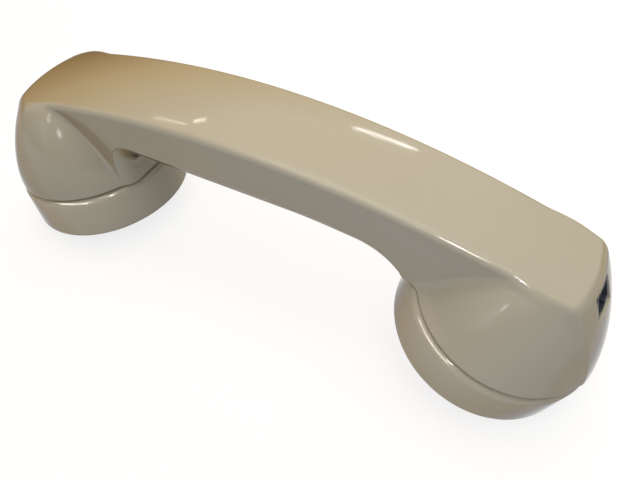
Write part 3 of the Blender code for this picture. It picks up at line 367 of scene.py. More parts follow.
def march(starts, directions):
    """Distance from each start along its direction to the first place outside the housing."""
    low = np.zeros(starts.shape[:-1])
    high = np.full(starts.shape[:-1], SECTION_REACH)
    found = np.zeros(starts.shape[:-1], dtype=bool)
    for distance in np.arange(MARCH_STEP, SECTION_REACH, MARCH_STEP):
        outside = housing_field(starts + directions * distance) > 0.0
        first = outside & ~found
        low[first] = distance - MARCH_STEP
        high[first] = distance
        found |= outside
        if found.all():
            break
    for _ in range(MARCH_HALVINGS):
        middle = (low + high) / 2
        outside = housing_field(starts + directions * middle[..., None]) > 0.0
        high = np.where(outside, middle, high)
        low = np.where(outside, low, middle)
    return (low + high) / 2


def span(starts, directions):
    """Near and far crossing of each ray that starts in the finger gap and passes through the housing."""
    distances = np.arange(0.0, SECTION_REACH, MARCH_STEP / 2)
    samples = starts[:, None, :] + directions[:, None, :] * distances[None, :, None]
    inside = housing_field(samples) < 0.0
    near = distances[inside.argmax(axis=1)]
    far = near + march(starts + directions * near[:, None], directions)
    return near, far


def even_by_bend(points, count, length_unit, angle_unit):
    """Decimal indices that spread points along a line, closer together where it bends."""
    legs = np.diff(points, axis=0)
    lengths = np.linalg.norm(legs, axis=1)
    units = legs / lengths[:, None]
    bends = np.arccos(np.clip((units[1:] * units[:-1]).sum(axis=1), -1.0, 1.0))
    weight = lengths / length_unit
    weight[1:] += bends / 2 / angle_unit
    weight[:-1] += bends / 2 / angle_unit
    total = np.concatenate([[0.0], np.cumsum(weight)])
    return np.interp(np.linspace(0.0, total[-1], count), total, np.arange(len(points)))


def at_index(values, index):
    """Values of a table at decimal indices."""
    base = np.arange(len(values))
    return np.stack([np.interp(index, base, column) for column in values.T], axis=1)


def fan_planes(end):
    """Section planes that turn about a line in the finger gap, from just above the seam to upright."""
    pivot = end.centre - (HOUSING_RADIUS + PIVOT_OFFSET) * end.outward + HOUSING_EDGE_RADIUS * end.upward
    angles = np.linspace(-end.tilt, math.pi / 2, FAN_SAMPLES)
    directions = np.stack([end.side * np.cos(angles), 0 * angles, np.sin(angles)], axis=1)
    starts = np.repeat(pivot[None, :], FAN_SAMPLES, axis=0)
    far = span(starts, directions)[1]
    outline = starts + directions * far[:, None]
    index = even_by_bend(outline, FAN_SECTIONS, SECTION_SPACING, SECTION_TURN)
    chosen = np.interp(index, np.arange(FAN_SAMPLES), angles)
    directions = np.stack([end.side * np.cos(chosen), 0 * chosen, np.sin(chosen)], axis=1)
    return np.repeat(pivot[None, :], FAN_SECTIONS, axis=0), directions


def section_planes():
    """Start and direction of every section, from the receiver's seam to the transmitter's seam."""
    left_starts, left_directions = fan_planes(RECEIVER)
    right_starts, right_directions = fan_planes(TRANSMITTER)
    share = np.linspace(0.0, 1.0, GRIP_SECTIONS + 2)[1:-1, None]
    grip_starts = left_starts[-1] + (right_starts[-1] - left_starts[-1]) * share
    grip_directions = np.repeat(np.array([[0.0, 0.0, 1.0]]), GRIP_SECTIONS, axis=0)
    starts = np.concatenate([left_starts, grip_starts, right_starts[::-1]])
    directions = np.concatenate([left_directions, grip_directions, right_directions[::-1]])
    return starts, directions


def section_outlines():
    """Closed outlines of the housing in all section planes, with more points where they bend."""
    starts, directions = section_planes()
    near, far = span(starts, directions)
    middles = starts + directions * ((near + far) / 2)[:, None]
    angles = np.linspace(0.0, math.pi, RAY_COUNT)
    across = np.array([0.0, -1.0, 0.0])
    rays = np.cos(angles)[None, :, None] * directions[:, None, :] + np.sin(angles)[None, :, None] * across
    centres = np.repeat(middles[:, None, :], RAY_COUNT, axis=1)
    crossings = centres + rays * march(centres, rays)[..., None]
    outlines = []
    for half in crossings:
        index = even_by_bend(half, SKIN_HALF_POINTS + 1, OUTLINE_SPACING, OUTLINE_TURN)
        half = at_index(half, index)
        half[0, 1] = half[-1, 1] = 0.0
        other = half[-2:0:-1] * np.array([1.0, -1.0, 1.0])
        outlines.append(np.concatenate([half, other]))
    return outlines


def neck_rings(end, lowest):
    """Rounded lower edge of the housing, the step in to the neck, and the neck's lower edge."""
    axis_point = end.centre + HOUSING_EDGE_RADIUS * end.upward
    radial = lowest - axis_point
    radial /= np.linalg.norm(radial, axis=1, keepdims=True)
    rings = []
    for angle in np.linspace(0.0, math.pi / 2, ROUNDING_STEPS)[1:]:
        inset = HOUSING_EDGE_RADIUS * (1.0 - math.cos(angle))
        rings.append(lowest - radial * inset - end.upward * HOUSING_EDGE_RADIUS * math.sin(angle))
    rings.append(end.centre + radial * NECK_RADIUS)
    rings.append(end.centre + radial * NECK_RADIUS - end.upward * NECK_LENGTH)
    return rings


def finished_mesh(name, shape):
    """A mesh of what was shaped, which is then let go."""
    mesh = bpy.data.meshes.new(name)
    shape.to_mesh(mesh)
    shape.free()
    return mesh


def loft(name, rings):
    """A closed mesh through a row of outlines with equal point counts, flat at both ends."""
    shape = bmesh.new()
    rows = [[shape.verts.new(point) for point in ring] for ring in rings]
    for row, following in zip(rows, rows[1:]):
        for index in range(len(row)):
            after = (index + 1) % len(row)
            shape.faces.new((row[index], row[after], following[after], following[index]))
    shape.faces.new(rows[0])
    shape.faces.new(reversed(rows[-1]))
    bmesh.ops.recalc_face_normals(shape, faces=shape.faces)
    return finished_mesh(name, shape)


def place_in_scene(name, data):
    """An object of the scene that carries a mesh, a curve, a lamp or a camera."""
    piece = bpy.data.objects.new(name, data)
    bpy.context.scene.collection.objects.link(piece)
    return piece


def evaluated_mesh(piece):
    """A mesh of a piece as its modifiers or its bevel leave it."""
    bpy.context.view_layer.update()
    evaluated = piece.evaluated_get(bpy.context.evaluated_depsgraph_get())
    return bpy.data.meshes.new_from_object(evaluated)


def bake(piece):
    """Turn a piece with modifiers into a plain mesh at the origin, with its place in its vertices."""
    mesh = evaluated_mesh(piece)
    mesh.transform(piece.matrix_world)
    piece.modifiers.clear()
    piece.matrix_world = Matrix.Identity(4)
    piece.data = mesh
    mesh.name = piece.name
    return piece


def remove(*pieces):
    """Delete pieces that only served to make others."""
    for piece in pieces:
        bpy.data.objects.remove(piece, do_unlink=True)


def cut(piece, *cutters):
    """Take the shapes of the cutters out of a piece, for good."""
    for cutter in cutters:
        boolean = piece.modifiers.new(cutter.name, "BOOLEAN")
        boolean.operation = "DIFFERENCE"
        boolean.solver = "MANIFOLD"
        boolean.object = cutter
    bake(piece)
    remove(*cutters)
    return piece


def turned(name, profile, turns, place):
    """A turned piece: a profile of radius and height revolved about Z, then put in its place."""
    shape = bmesh.new()
    rows = []
    for radius, height in profile:
        if radius < ON_AXIS:
            rows.append([shape.verts.new((0.0, 0.0, height))])
            continue
        ring = []
        for index in range(turns):
            angle = 2 * math.pi * index / turns
            ring.append(shape.verts.new((radius * math.cos(angle), radius * math.sin(angle), height)))
        rows.append(ring)
    for row, following in zip(rows, rows[1:] + ([rows[0]] if len(rows[0]) > 1 else [])):
        for index in range(turns):
            after = (index + 1) % turns
            corners = [row[index % len(row)], row[after % len(row)],
                       following[after % len(following)], following[index % len(following)]]
            shape.faces.new(list(dict.fromkeys(corners)))
    bmesh.ops.recalc_face_normals(shape, faces=shape.faces)
    mesh = finished_mesh(name, shape)
    mesh.transform(place)
    return place_in_scene(name, mesh)


def arc(centre, radius, start_degrees, end_degrees, steps=ROUNDING_STEPS):
    """Points along an arc of a profile."""
    angles = np.radians(np.linspace(start_degrees, end_degrees, steps + 1))
    return [(centre[0] + radius * math.cos(a), centre[1] + radius * math.sin(a)) for a in angles]


def shade_round(piece, degrees=SMOOTH_BELOW):
    """Shade a mesh smooth, but keep the edges that bend by more than this."""
    piece.data.shade_smooth()
    piece.data.set_sharp_from_angle(angle=math.radians(degrees))


def back_over_axis(end):
    """Height of the back above the seam, along the cap's axis."""
    start = end.centre[None, :] + end.upward[None, :] * MM
    return float(march(start, end.upward[None, :])[0]) + MM


def bore_cutter(end):
    """The hollow of one end: straight in the neck, then inside the dome's walls."""
    top = back_over_axis(end) - ROOF_WALL
    profile = [(0.0, top)]
    for height in np.linspace(top, HOUSING_WALL, BORE_STEPS):
        walls = min(float(end.dome_radius(height)), float(end.end_radius(height))) - HOUSING_WALL
        profile.append((min(walls, BORE_RADIUS), float(height)))
    profile.append((BORE_RADIUS, -NECK_LENGTH - CUT_MARGIN))
    profile.append((0.0, -NECK_LENGTH - CUT_MARGIN))
    return turned(end.name + "_bore", profile, CAP_TURNS // 2, end.matrix())


def passage_cutter():
    """The passage for the leads through the grip, from one hollow to the other."""
    middle = (GRIP_UNDERSIDE + BACK_HEIGHT) / 2
    bend = GRIP_UNDERSIDE + PASSAGE_RADIUS + PASSAGE_FLOOR
    points = [
        RECEIVER.world(-PASSAGE_ENTRY, 0.0, back_over_axis(RECEIVER) / 2),
        Vector((-LEG_GAP_HALF - PASSAGE_ENTRY, 0.0, bend)),
        Vector((-LEG_GAP_HALF + 2 * PASSAGE_ENTRY, 0.0, middle - BACK_CROWN)),
        Vector((0.0, 0.0, middle)),
        Vector((LEG_GAP_HALF - 2 * PASSAGE_ENTRY, 0.0, middle - BACK_CROWN)),
        Vector((LEG_GAP_HALF + PASSAGE_ENTRY, 0.0, bend - BACK_CROWN)),
        TRANSMITTER.world(-PASSAGE_ENTRY / 2, 0.0, back_over_axis(TRANSMITTER) / 2),
    ]
    curve = bpy.data.curves.new("lead_passage", "CURVE")
    curve.dimensions = "3D"
    curve.bevel_depth = PASSAGE_RADIUS
    curve.bevel_resolution = PASSAGE_ROUNDNESS
    curve.use_fill_caps = True
    curve.resolution_u = PASSAGE_STEPS
    spline = curve.splines.new("BEZIER")
    spline.bezier_points.add(len(points) - 1)
    for knot, point in zip(spline.bezier_points, points):
        knot.co = point
        knot.handle_left_type = knot.handle_right_type = "AUTO"
    tube = place_in_scene("lead_passage", curve)
    shape = bmesh.new()
    shape.from_mesh(evaluated_mesh(tube))
    bmesh.ops.remove_doubles(shape, verts=shape.verts, dist=WELD_DISTANCE)
    bmesh.ops.recalc_face_normals(shape, faces=shape.faces)
    remove(tube)
    return place_in_scene("lead_passage_cutter", finished_mesh("lead_passage_cutter", shape))


def jack_place():
    """Placement of the jack: origin on the transmitter's end wall, X pointing out of the wall."""
    axis = np.array([math.cos(JACK_PITCH), 0.0, math.sin(JACK_PITCH)])
    inner = np.array([TRANSMITTER.centre[0], 0.0, JACK_CENTRE_Z])
    inner[2] -= (LEVEL_TO_WALL * axis / axis[0])[2]
    reach = float(march(inner[None, :], axis[None, :])[0])
    return Matrix.Translation(Vector(inner + axis * reach)) @ Matrix.Rotation(-JACK_PITCH, 4, "Y")


def block(name, low, high, place, edge=0.0):
    """A block between two corners, with its edges rounded if asked."""
    shape = bmesh.new()
    bmesh.ops.create_cube(shape, size=1.0)
    size = Vector(high) - Vector(low)
    centre = (Vector(high) + Vector(low)) / 2
    for vertex in shape.verts:
        vertex.co = Vector(a * b for a, b in zip(vertex.co, size)) + centre
    if edge:
        bmesh.ops.bevel(shape, geom=shape.edges, offset=edge, segments=EDGE_SEGMENTS, profile=0.5,
                        affect="EDGES")
    mesh = finished_mesh(name, shape)
    mesh.transform(place)
    return place_in_scene(name, mesh)


def make_handle(place):
    """The moulded handle: a fine loft, hollowed at both ends and pierced for the leads and the jack."""
    outlines = section_outlines()
    left = neck_rings(RECEIVER, outlines[0])
    right = neck_rings(TRANSMITTER, outlines[-1])
    handle = place_in_scene("moulded_handle", loft("moulded_handle", left[::-1] + outlines + right))
    half_width = JACK_WIDTH / 2 + CLEARANCE
    half_height = JACK_HEIGHT / 2 + CLEARANCE
    pocket = block("jack_pocket", (-JACK_RECESS - JACK_DEPTH - CLEARANCE, -half_width, -half_height),
                   (CUT_MARGIN, half_width, half_height), place)
    cut(handle, bore_cutter(RECEIVER), bore_cutter(TRANSMITTER), passage_cutter(), pocket)
    shade_round(handle, HANDLE_SMOOTH_BELOW)
    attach(handle, "root")
    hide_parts("handle_shell")
    return handle


def mould_line_path():
    """Points of the mould line on the +Y side, from one leg round the finger gap to the other."""
    angles = np.linspace(-0.5 * math.pi, 1.5 * math.pi, MOULD_LINE_POINTS, endpoint=False)
    reach = np.linspace(0.0, MOULD_LINE_REACH, MOULD_LINE_POINTS * 2)
    x = MOULD_LINE_CENTRE[0] + np.outer(np.cos(angles), reach)
    z = MOULD_LINE_CENTRE[1] + np.outer(np.sin(angles), reach)
    radius = leg_edge_radius(x)
    inset = radius - np.sqrt(2 * radius * GRIP_EDGE_BREAK - GRIP_EDGE_BREAK ** 2)
    rounded = -finger_gap_field(x, z, GRIP_UNDERSIDE) + inset
    path = []
    for row in range(len(angles)):
        crossings = np.flatnonzero((rounded[row, :-1] > 0.0) & (rounded[row, 1:] <= 0.0))
        if len(crossings):
            at = crossings[0]
            share = rounded[row, at] / (rounded[row, at] - rounded[row, at + 1])
            px = x[row, at] + (x[row, at + 1] - x[row, at]) * share
            pz = z[row, at] + (z[row, at + 1] - z[row, at]) * share
            point = np.array([px, side_half_width(px, pz), pz])
            end = RECEIVER if px < 0.0 else TRANSMITTER
            if dome_field(end, point) > 0.0 and end.local(point)[2] > SEAM_GAP:
                path.append(point)
    return np.array(path)


def make_mould_line():
    """The fine raised line that the mould left along the lower edges of the grip's sides."""
    path = mould_line_path()
    along = np.gradient(path, axis=0)
    along /= np.linalg.norm(along, axis=1, keepdims=True)
    across = np.array([0.0, 1.0, 0.0])
    turns = np.linspace(0.0, 2 * math.pi, MOULD_LINE_SIDES, endpoint=False)
    shape = bmesh.new()
    for side in (-1.0, 1.0):
        rings = []
        for point, direction in zip(path, along):
            upward = np.cross(direction, across)
            ring = [point + MOULD_LINE_RADIUS * (math.cos(turn) * across + math.sin(turn) * upward)
                    for turn in turns]
            rings.append([(x, side * y, z) for x, y, z in ring])
        shape.from_mesh(loft("mould_line_side", rings))
    line = place_in_scene("mould_line", finished_mesh("mould_line", shape))
    shade_round(line, MOULD_LINE_SMOOTH_BELOW)
    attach(line, "root")
    return line


def make_node(tree, kind, settings=None, links=None):
    """Add a node to a tree, with its settings and sockets set and its inputs linked."""
    node = tree.nodes.new(kind)
    for key, value in (settings or {}).items():
        if isinstance(key, str) and hasattr(node, key):
            setattr(node, key, value)
        else:
            node.inputs[key].default_value = value
    for key, source in (links or {}).items():
        tree.links.new(source, node.inputs[key])
    return node


def calculate(tree, operation, first, second):
    """The result of one operation on two values, each a number or another node's output."""
    node = make_node(tree, "ShaderNodeMath", {"operation": operation})
    for socket, value in zip(node.inputs, (first, second)):
        if isinstance(value, float):
            socket.default_value = value
        else:
            tree.links.new(value, socket)
    return node.outputs[0]


def new_pattern_tree(name, inputs):
    """A geometry nodes tree with these named inputs, and the sockets that give them."""
    tree = bpy.data.node_groups.new(name, "GeometryNodeTree")
    for label, kind in inputs:
        tree.interface.new_socket(label, in_out="INPUT", socket_type="NodeSocket" + kind)
    tree.interface.new_socket("Geometry", in_out="OUTPUT", socket_type="NodeSocketGeometry")
    return tree, make_node(tree, "NodeGroupInput").outputs


def give_finished(tree, copies, finish):
    """Make the copies of a pattern real, give them their finish and pass them out of the tree."""
    solid = make_node(tree, "GeometryNodeRealizeInstances", links={0: copies.outputs[0]})
    finished = make_node(tree, "GeometryNodeSetMaterial", links={
        "Geometry": solid.outputs[0], "Material": finish})
    make_node(tree, "NodeGroupOutput", links={0: finished.outputs[0]})


def hole_pin(name, depth):
    """The shape that one sound hole takes out of a cap: a pin with a countersunk mouth."""
    profile = [
        (0.0, depth), (HOLE_RADIUS, depth), (HOLE_RADIUS, HOLE_COUNTERSINK),
        (HOLE_RADIUS + HOLE_COUNTERSINK, 0.0), (HOLE_RADIUS + HOLE_COUNTERSINK, -CUT_MARGIN),
        (0.0, -CUT_MARGIN),
    ]
    return turned(name, profile, HOLE_SIDES, Matrix.Identity(4))


def hole_pattern_tree(pin):
    """Geometry nodes that repeat the pin on every point and lift it to the dished face."""
    tree, given = new_pattern_tree("sound_hole_pattern", (
        ("Geometry", "Geometry"), ("Dish depth", "Float"), ("Rim radius", "Float"),
        ("Face height", "Float"), ("Finish", "Material")))
    position = make_node(tree, "GeometryNodeInputPosition")
    distance = make_node(tree, "ShaderNodeVectorMath", {"operation": "LENGTH"}, {0: position.outputs[0]})
    share = calculate(tree, "DIVIDE", distance.outputs["Value"], given["Rim radius"])
    fall = calculate(tree, "SUBTRACT", 1.0, calculate(tree, "MULTIPLY", share, share))
    rise = calculate(tree, "MULTIPLY", fall, given["Dish depth"])
    height = calculate(tree, "ADD", rise, given["Face height"])
    offset = make_node(tree, "ShaderNodeCombineXYZ", links={2: height})
    points = make_node(tree, "GeometryNodeSetPosition", links={
        "Geometry": given["Geometry"], "Offset": offset.outputs[0]})
    shape = make_node(tree, "GeometryNodeObjectInfo", {"Object": pin, "As Instance": True})
    copies = make_node(tree, "GeometryNodeInstanceOnPoints", links={
        "Points": points.outputs[0], "Instance": shape.outputs["Geometry"]})
    give_finished(tree, copies, given["Finish"])
    return tree


def add_pattern(piece, tree, values):
    """Put a pattern on a piece, with the values of its named inputs."""
    modifier = piece.modifiers.new("pattern", "NODES")
    modifier.node_group = tree
    for item in tree.interface.items_tree:
        if item.in_out == "INPUT" and item.name in values:
            modifier[item.identifier] = values[item.name]


def hole_centres(rings):
    """Centres of a round hole pattern: one in the middle, and rings that each hold more than the last."""
    centres = [(0.0, 0.0, 0.0)]
    for ring in range(1, rings + 1):
        count = HOLES_MORE_PER_RING * ring
        reach = ring * HOLE_RING_PITCH
        for index in range(count):
            angle = 2 * math.pi * index / count
            centres.append((reach * math.cos(angle), reach * math.sin(angle), 0.0))
    return centres


def sound_holes(end, dish_depth, rings, finish):
    """All the sound holes of one cap, as one cutter."""
    pin = hole_pin(end.name + "_pin", CAP_FACE_THICKNESS + CUT_MARGIN)
    mesh = bpy.data.meshes.new(end.name + "_holes")
    mesh.from_pydata(hole_centres(rings), [], [])
    holes = place_in_scene(end.name + "_holes", mesh)
    add_pattern(holes, hole_pattern_tree(pin), {
        "Dish depth": dish_depth, "Rim radius": FACE_RIM, "Face height": -CAP_HEIGHT, "Finish": finish})
    holes.matrix_world = end.matrix()
    bake(holes)
    remove(pin)
    return holes


def cap_profile(dish_depth):
    """Half section of a cap: floor, inner wall, rounded shoulder, side, rounded edge, rim and dish."""
    floor = -(CAP_HEIGHT - dish_depth - CAP_FACE_THICKNESS)
    inner = CAP_RADIUS - CAP_WALL
    shoulder = (CAP_RADIUS - CAP_SHOULDER_RADIUS, -SEAM_GAP - CAP_SHOULDER_RADIUS)
    edge = (CAP_RADIUS - CAP_EDGE_RADIUS, -CAP_HEIGHT + CAP_EDGE_RADIUS)
    dish = []
    for share in np.linspace(1.0, 0.0, 3 * ROUNDING_STEPS):
        dish.append((FACE_RIM * share, -CAP_HEIGHT + dish_depth * (1.0 - share ** 2)))
    return [
        (0.0, floor), (inner, floor), (inner, -SEAM_GAP),
        *arc(shoulder, CAP_SHOULDER_RADIUS, 90, 0),
        *arc(edge, CAP_EDGE_RADIUS, 0, -90),
        *dish,
    ]


def make_cap(end, dish_depth, rings, finish):
    """A screw-on cap, turned and pierced with its sound holes."""
    cap = turned(end.name + "_cap_turned", cap_profile(dish_depth), CAP_TURNS, end.matrix())
    cut(cap, sound_holes(end, dish_depth, rings, finish))
    shade_round(cap)
    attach(cap, "root")
    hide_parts(end.name + "_cap")
    return cap


def make_jack(place):
    """The jack's moulded body: a block with softened edges, a stepped socket and its latch way."""
    front = -JACK_RECESS
    back = front - JACK_DEPTH
    body = block("moulded_jack", (back, -JACK_WIDTH / 2, -JACK_HEIGHT / 2),
                 (front, JACK_WIDTH / 2, JACK_HEIGHT / 2), place, JACK_EDGE_RADIUS)
    floor = back + JACK_WALL_THICKNESS
    half_width = JACK_SOCKET_WIDTH / 2
    top = JACK_SOCKET_HEIGHT / 2 + JACK_LATCH_HEIGHT / 2
    bottom = top - JACK_SOCKET_HEIGHT
    socket = block("jack_socket", (floor, -half_width, bottom), (CUT_MARGIN, half_width, top), place)
    latch_way = block("jack_latch_way", (floor, -JACK_LATCH_WIDTH / 2, bottom - JACK_LATCH_HEIGHT),
                      (CUT_MARGIN, JACK_LATCH_WIDTH / 2, bottom + CLEARANCE), place)
    cut(body, socket, latch_way)
    shade_round(body)
    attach(body, "root")
    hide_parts("handset_jack")
    return body


def contact_row_tree():
    """Geometry nodes that sweep a wire along the contact's line and repeat it across the socket."""
    tree, given = new_pattern_tree("contact_row", (
        ("Geometry", "Geometry"), ("Count", "Int"), ("Pitch", "Float"), ("Wire radius", "Float"),
        ("Bend radius", "Float"), ("Finish", "Material")))
    line = make_node(tree, "GeometryNodeMeshToCurve", links={"Mesh": given["Geometry"]})
    bent = make_node(tree, "GeometryNodeFilletCurve", {"mode": "POLY", "Count": ROUNDING_STEPS}, {
        "Curve": line.outputs[0], "Radius": given["Bend radius"]})
    section = make_node(tree, "GeometryNodeCurvePrimitiveCircle", {"Resolution": WIRE_SIDES}, {
        "Radius": given["Wire radius"]})
    wire = make_node(tree, "GeometryNodeCurveToMesh", {"Fill Caps": True}, {
        "Curve": bent.outputs[0], "Profile Curve": section.outputs[0]})
    step = make_node(tree, "ShaderNodeCombineXYZ", links={1: given["Pitch"]})
    places = make_node(tree, "GeometryNodeMeshLine", links={
        "Count": given["Count"], "Offset": step.outputs[0]})
    copies = make_node(tree, "GeometryNodeInstanceOnPoints", links={
        "Points": places.outputs[0], "Instance": wire.outputs[0]})
    give_finished(tree, copies, given["Finish"])
    return tree


def make_contacts(place, finish):
    """The four spring wires that droop into the jack's socket."""
    ceiling = JACK_SOCKET_HEIGHT / 2 + JACK_LATCH_HEIGHT / 2 - CLEARANCE - JACK_CONTACT_RADIUS
    first = -(JACK_CONTACT_COUNT - 1) / 2 * JACK_CONTACT_PITCH
    mesh = bpy.data.meshes.new("jack_contact_wires")
    mesh.from_pydata([
        (-JACK_RECESS - JACK_CONTACT_START, first, ceiling),
        (-JACK_RECESS - JACK_CONTACT_BEND, first, ceiling),
        (-JACK_RECESS - JACK_CONTACT_END, first, ceiling - JACK_CONTACT_DROP),
    ], [(0, 1), (1, 2)], [])
    wires = place_in_scene("jack_contact_wires", mesh)
    add_pattern(wires, contact_row_tree(), {
        "Count": JACK_CONTACT_COUNT, "Pitch": JACK_CONTACT_PITCH, "Wire radius": JACK_CONTACT_RADIUS,
        "Bend radius": JACK_CONTACT_BEND_RADIUS, "Finish": finish})
    wires.matrix_world = place
    bake(wires)
    shade_round(wires)
    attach(wires, "root")
    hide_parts(*["jack_contact_%d" % (index + 1) for index in range(JACK_CONTACT_COUNT)])
    return wires


def linear(hex_colour):
    """An sRGB hex colour as linear red, green, blue and alpha."""
    channels = []
    for start in (1, 3, 5):
        value = int(hex_colour[start:start + 2], 16) / 255
        channels.append(value / 12.92 if value <= 0.04045 else ((value + 0.055) / 1.055) ** 2.4)
    return (*channels, 1.0)


def new_material(name):
    """A material and its tree, which is still empty."""
    material = bpy.data.materials.new(name)
    material.use_nodes = True
    material.node_tree.nodes.clear()
    return material, material.node_tree


def give_shader(tree, settings, links):
    """Join a Principled shader with these settings and inputs to the tree's output."""
    shader = make_node(tree, "ShaderNodeBsdfPrincipled", settings, links)
    make_node(tree, "ShaderNodeOutputMaterial", links={"Surface": shader.outputs[0]})


def noise(tree, grain_mm, detail, roughness=0.5):
    """A noise that is fixed to the piece and has a grain of this size."""
    position = make_node(tree, "ShaderNodeTexCoord")
    texture = make_node(tree, "ShaderNodeTexNoise", {
        "Scale": 1.0 / (grain_mm * MM), "Detail": detail, "Roughness": roughness}, {
        "Vector": position.outputs["Object"]})
    return texture.outputs["Fac"]


def two_tones(tree, low_hex, high_hex, share):
    """A colour that goes from one tone to the other with the share."""
    mix = make_node(tree, "ShaderNodeMix", {
        "data_type": "RGBA", 6: linear(low_hex), 7: linear(high_hex)}, {0: share})
    return mix.outputs[2]


def relief(tree, strength, depth_mm, height):
    """A surface that swells and sinks with the height."""
    bump = make_node(tree, "ShaderNodeBump", {"Strength": strength, "Distance": depth_mm * MM}, {
        "Height": height})
    return bump.outputs[0]


def set_stops(ramp, stops):
    """Give a colour ramp these stops, each a position and a colour."""
    elements = ramp.color_ramp.elements
    while len(elements) < len(stops):
        elements.new(0.5)
    for element, (position, colour) in zip(elements, stops):
        element.position, element.color = position, linear(colour)


def moulded_ivory_abs():
    """Glossy injection-moulded ABS, aged to a warm ivory: a faint orange peel and a little haze, with
    painted shade that darkens it where it is seen edge-on.
    """
    material, tree = new_material("moulded_ivory_abs")
    tone = two_tones(tree, "#C8C2AB", "#C0B9A0", noise(tree, 38.0, 3.0, 0.55))
    # Painted shade: the ivory's colour is multiplied darker and browner the more edge-on it is seen
    rim = make_node(tree, "ShaderNodeLayerWeight", {"Blend": 0.5})
    painted_edge_shade = make_node(tree, "ShaderNodeValToRGB", links={0: rim.outputs["Facing"]})
    set_stops(painted_edge_shade, IVORY_PAINTED_EDGE_SHADE)
    body = make_node(tree, "ShaderNodeMix", {"data_type": "RGBA", "blend_type": "MULTIPLY", 0: 1.0}, {
        6: tone, 7: painted_edge_shade.outputs[0]})
    gloss = make_node(tree, "ShaderNodeMapRange", {
        "From Min": 0.3, "From Max": 0.7, "To Min": 0.05, "To Max": 0.09}, {
        "Value": noise(tree, 9.0, 4.0, 0.6)})
    give_shader(tree, {"IOR": 1.53, "Specular IOR Level": 0.32}, {
        "Base Color": body.outputs[2], "Roughness": gloss.outputs[0],
        "Normal": relief(tree, 0.12, 0.02, noise(tree, 3.2, 1.0))})
    return material


def plain_material(name, low_hex, high_hex, grain_mm, roughness, metallic=0.0, bump_mm=0.0):
    """A finish with two close tones in a grain of a real size, and relief from the same grain."""
    material, tree = new_material(name)
    grain = noise(tree, grain_mm, 3.0)
    links = {"Base Color": two_tones(tree, low_hex, high_hex, grain)}
    if bump_mm:
        links["Normal"] = relief(tree, 0.5, bump_mm, grain)
    give_shader(tree, {"Metallic": metallic, "Roughness": roughness, "IOR": 1.5}, links)
    return material


def dress(piece, material):
    """Give a piece one material."""
    if not piece.material_slots:
        piece.data.materials.append(material)
    for place in piece.material_slots:
        place.material = material


def dress_frame(finishes):
    """Give every node of the frame the finish that its record names."""
    for row in frame["record"]["subparts"]:
        dress(bpy.data.objects[row["node"]], finishes[row["material_slot"]])


def make_floor():
    """A pale floor that reads white to the camera and keeps the handset's shadow."""
    mesh = bpy.data.meshes.new("floor")
    half = FLOOR_HALF
    mesh.from_pydata([(-half, -half, 0.0), (half, -half, 0.0), (half, half, 0.0), (-half, half, 0.0)],
                     [], [(0, 1, 2, 3)])
    floor = place_in_scene("floor", mesh)
    material, tree = new_material("white_floor")
    rays = make_node(tree, "ShaderNodeLightPath").outputs
    seen = calculate(tree, "MAXIMUM", rays["Is Camera Ray"], rays["Is Glossy Ray"])
    seen = calculate(tree, "MAXIMUM", seen, rays["Is Transmission Ray"])
    give_shader(tree, {
        "Base Color": linear(FLOOR_COLOUR), "Roughness": FLOOR_ROUGHNESS, "Specular IOR Level": 0.0,
        "Emission Color": (1.0, 1.0, 1.0, 1.0)}, {
        "Emission Strength": calculate(tree, "MULTIPLY", seen, FLOOR_LIFT)})
    dress(floor, material)


def toward(azimuth, elevation):
    """Unit vector at an azimuth from +X and an elevation, both in radians."""
    level = math.cos(elevation)
    return Vector((math.cos(azimuth) * level, math.sin(azimuth) * level, math.sin(elevation)))


def area_light(name, azimuth, elevation, distance, size, radiance, colour="#FFFFFF",
               diffuse=True, mirrored=False, aim=GRIP_AIM, spread=180.0, turn=0.0):
    """A light of a given brightness, its place round its aim and its size given in degrees."""
    lamp = bpy.data.lights.new(name, "AREA")
    lamp.shape = "RECTANGLE"
    lamp.size, lamp.size_y = [2 * distance * math.tan(math.radians(angle) / 2) for angle in size]
    lamp.color = linear(colour)[:3]
    lamp.spread = math.radians(spread)
    gathered = 1.0 - lamp.spread / 2 / math.tan(lamp.spread / 2)
    lamp.energy = radiance * math.pi * lamp.size * lamp.size_y * gathered
    light = place_in_scene(name, lamp)
    light.visible_diffuse, light.visible_glossy = diffuse, mirrored
    direction = toward(math.radians(azimuth), math.radians(elevation))
    light.location = direction * distance + Vector(aim) * MM
    facing = direction.to_track_quat("Z", "Y").to_matrix() @ Matrix.Rotation(math.radians(turn), 3, "Z")
    light.rotation_euler = facing.to_euler()
    return light


def gloss_lamp(name, azimuth, elevation, size, radiance, colour="#FFFFFF", **others):
    """A lamp that only shows as a highlight in the gloss."""
    return area_light(name, azimuth, elevation, GLOSS_DISTANCE, size, radiance, colour,
                      diffuse=False, mirrored=True, **others)


def make_room():
    """A pale room, warmer towards the receiver, that the camera sees as a plain backdrop."""
    world = bpy.data.worlds.new("studio")
    bpy.context.scene.world = world
    world.use_nodes = True
    tree = world.node_tree
    tree.nodes.clear()
    toward = make_node(tree, "ShaderNodeTexCoord")
    axes = make_node(tree, "ShaderNodeSeparateXYZ", links={0: toward.outputs["Generated"]})
    along = make_node(tree, "ShaderNodeMapRange", {"From Min": -1.0, "From Max": 1.0}, {
        "Value": axes.outputs["X"]})
    walls = make_node(tree, "ShaderNodeValToRGB", links={0: along.outputs[0]})
    set_stops(walls, ROOM_COLOURS)
    room = make_node(tree, "ShaderNodeBackground", {"Strength": ROOM_STRENGTH}, {
        "Color": walls.outputs[0]})
    backdrop = make_node(tree, "ShaderNodeBackground", {"Color": linear(BACKDROP_COLOUR), "Strength": 1.0})
    rays = make_node(tree, "ShaderNodeLightPath")
    view = make_node(tree, "ShaderNodeMixShader", links={
        "Fac": rays.outputs["Is Camera Ray"], 1: room.outputs[0], 2: backdrop.outputs[0]})
    make_node(tree, "ShaderNodeOutputWorld", links={"Surface": view.outputs[0]})


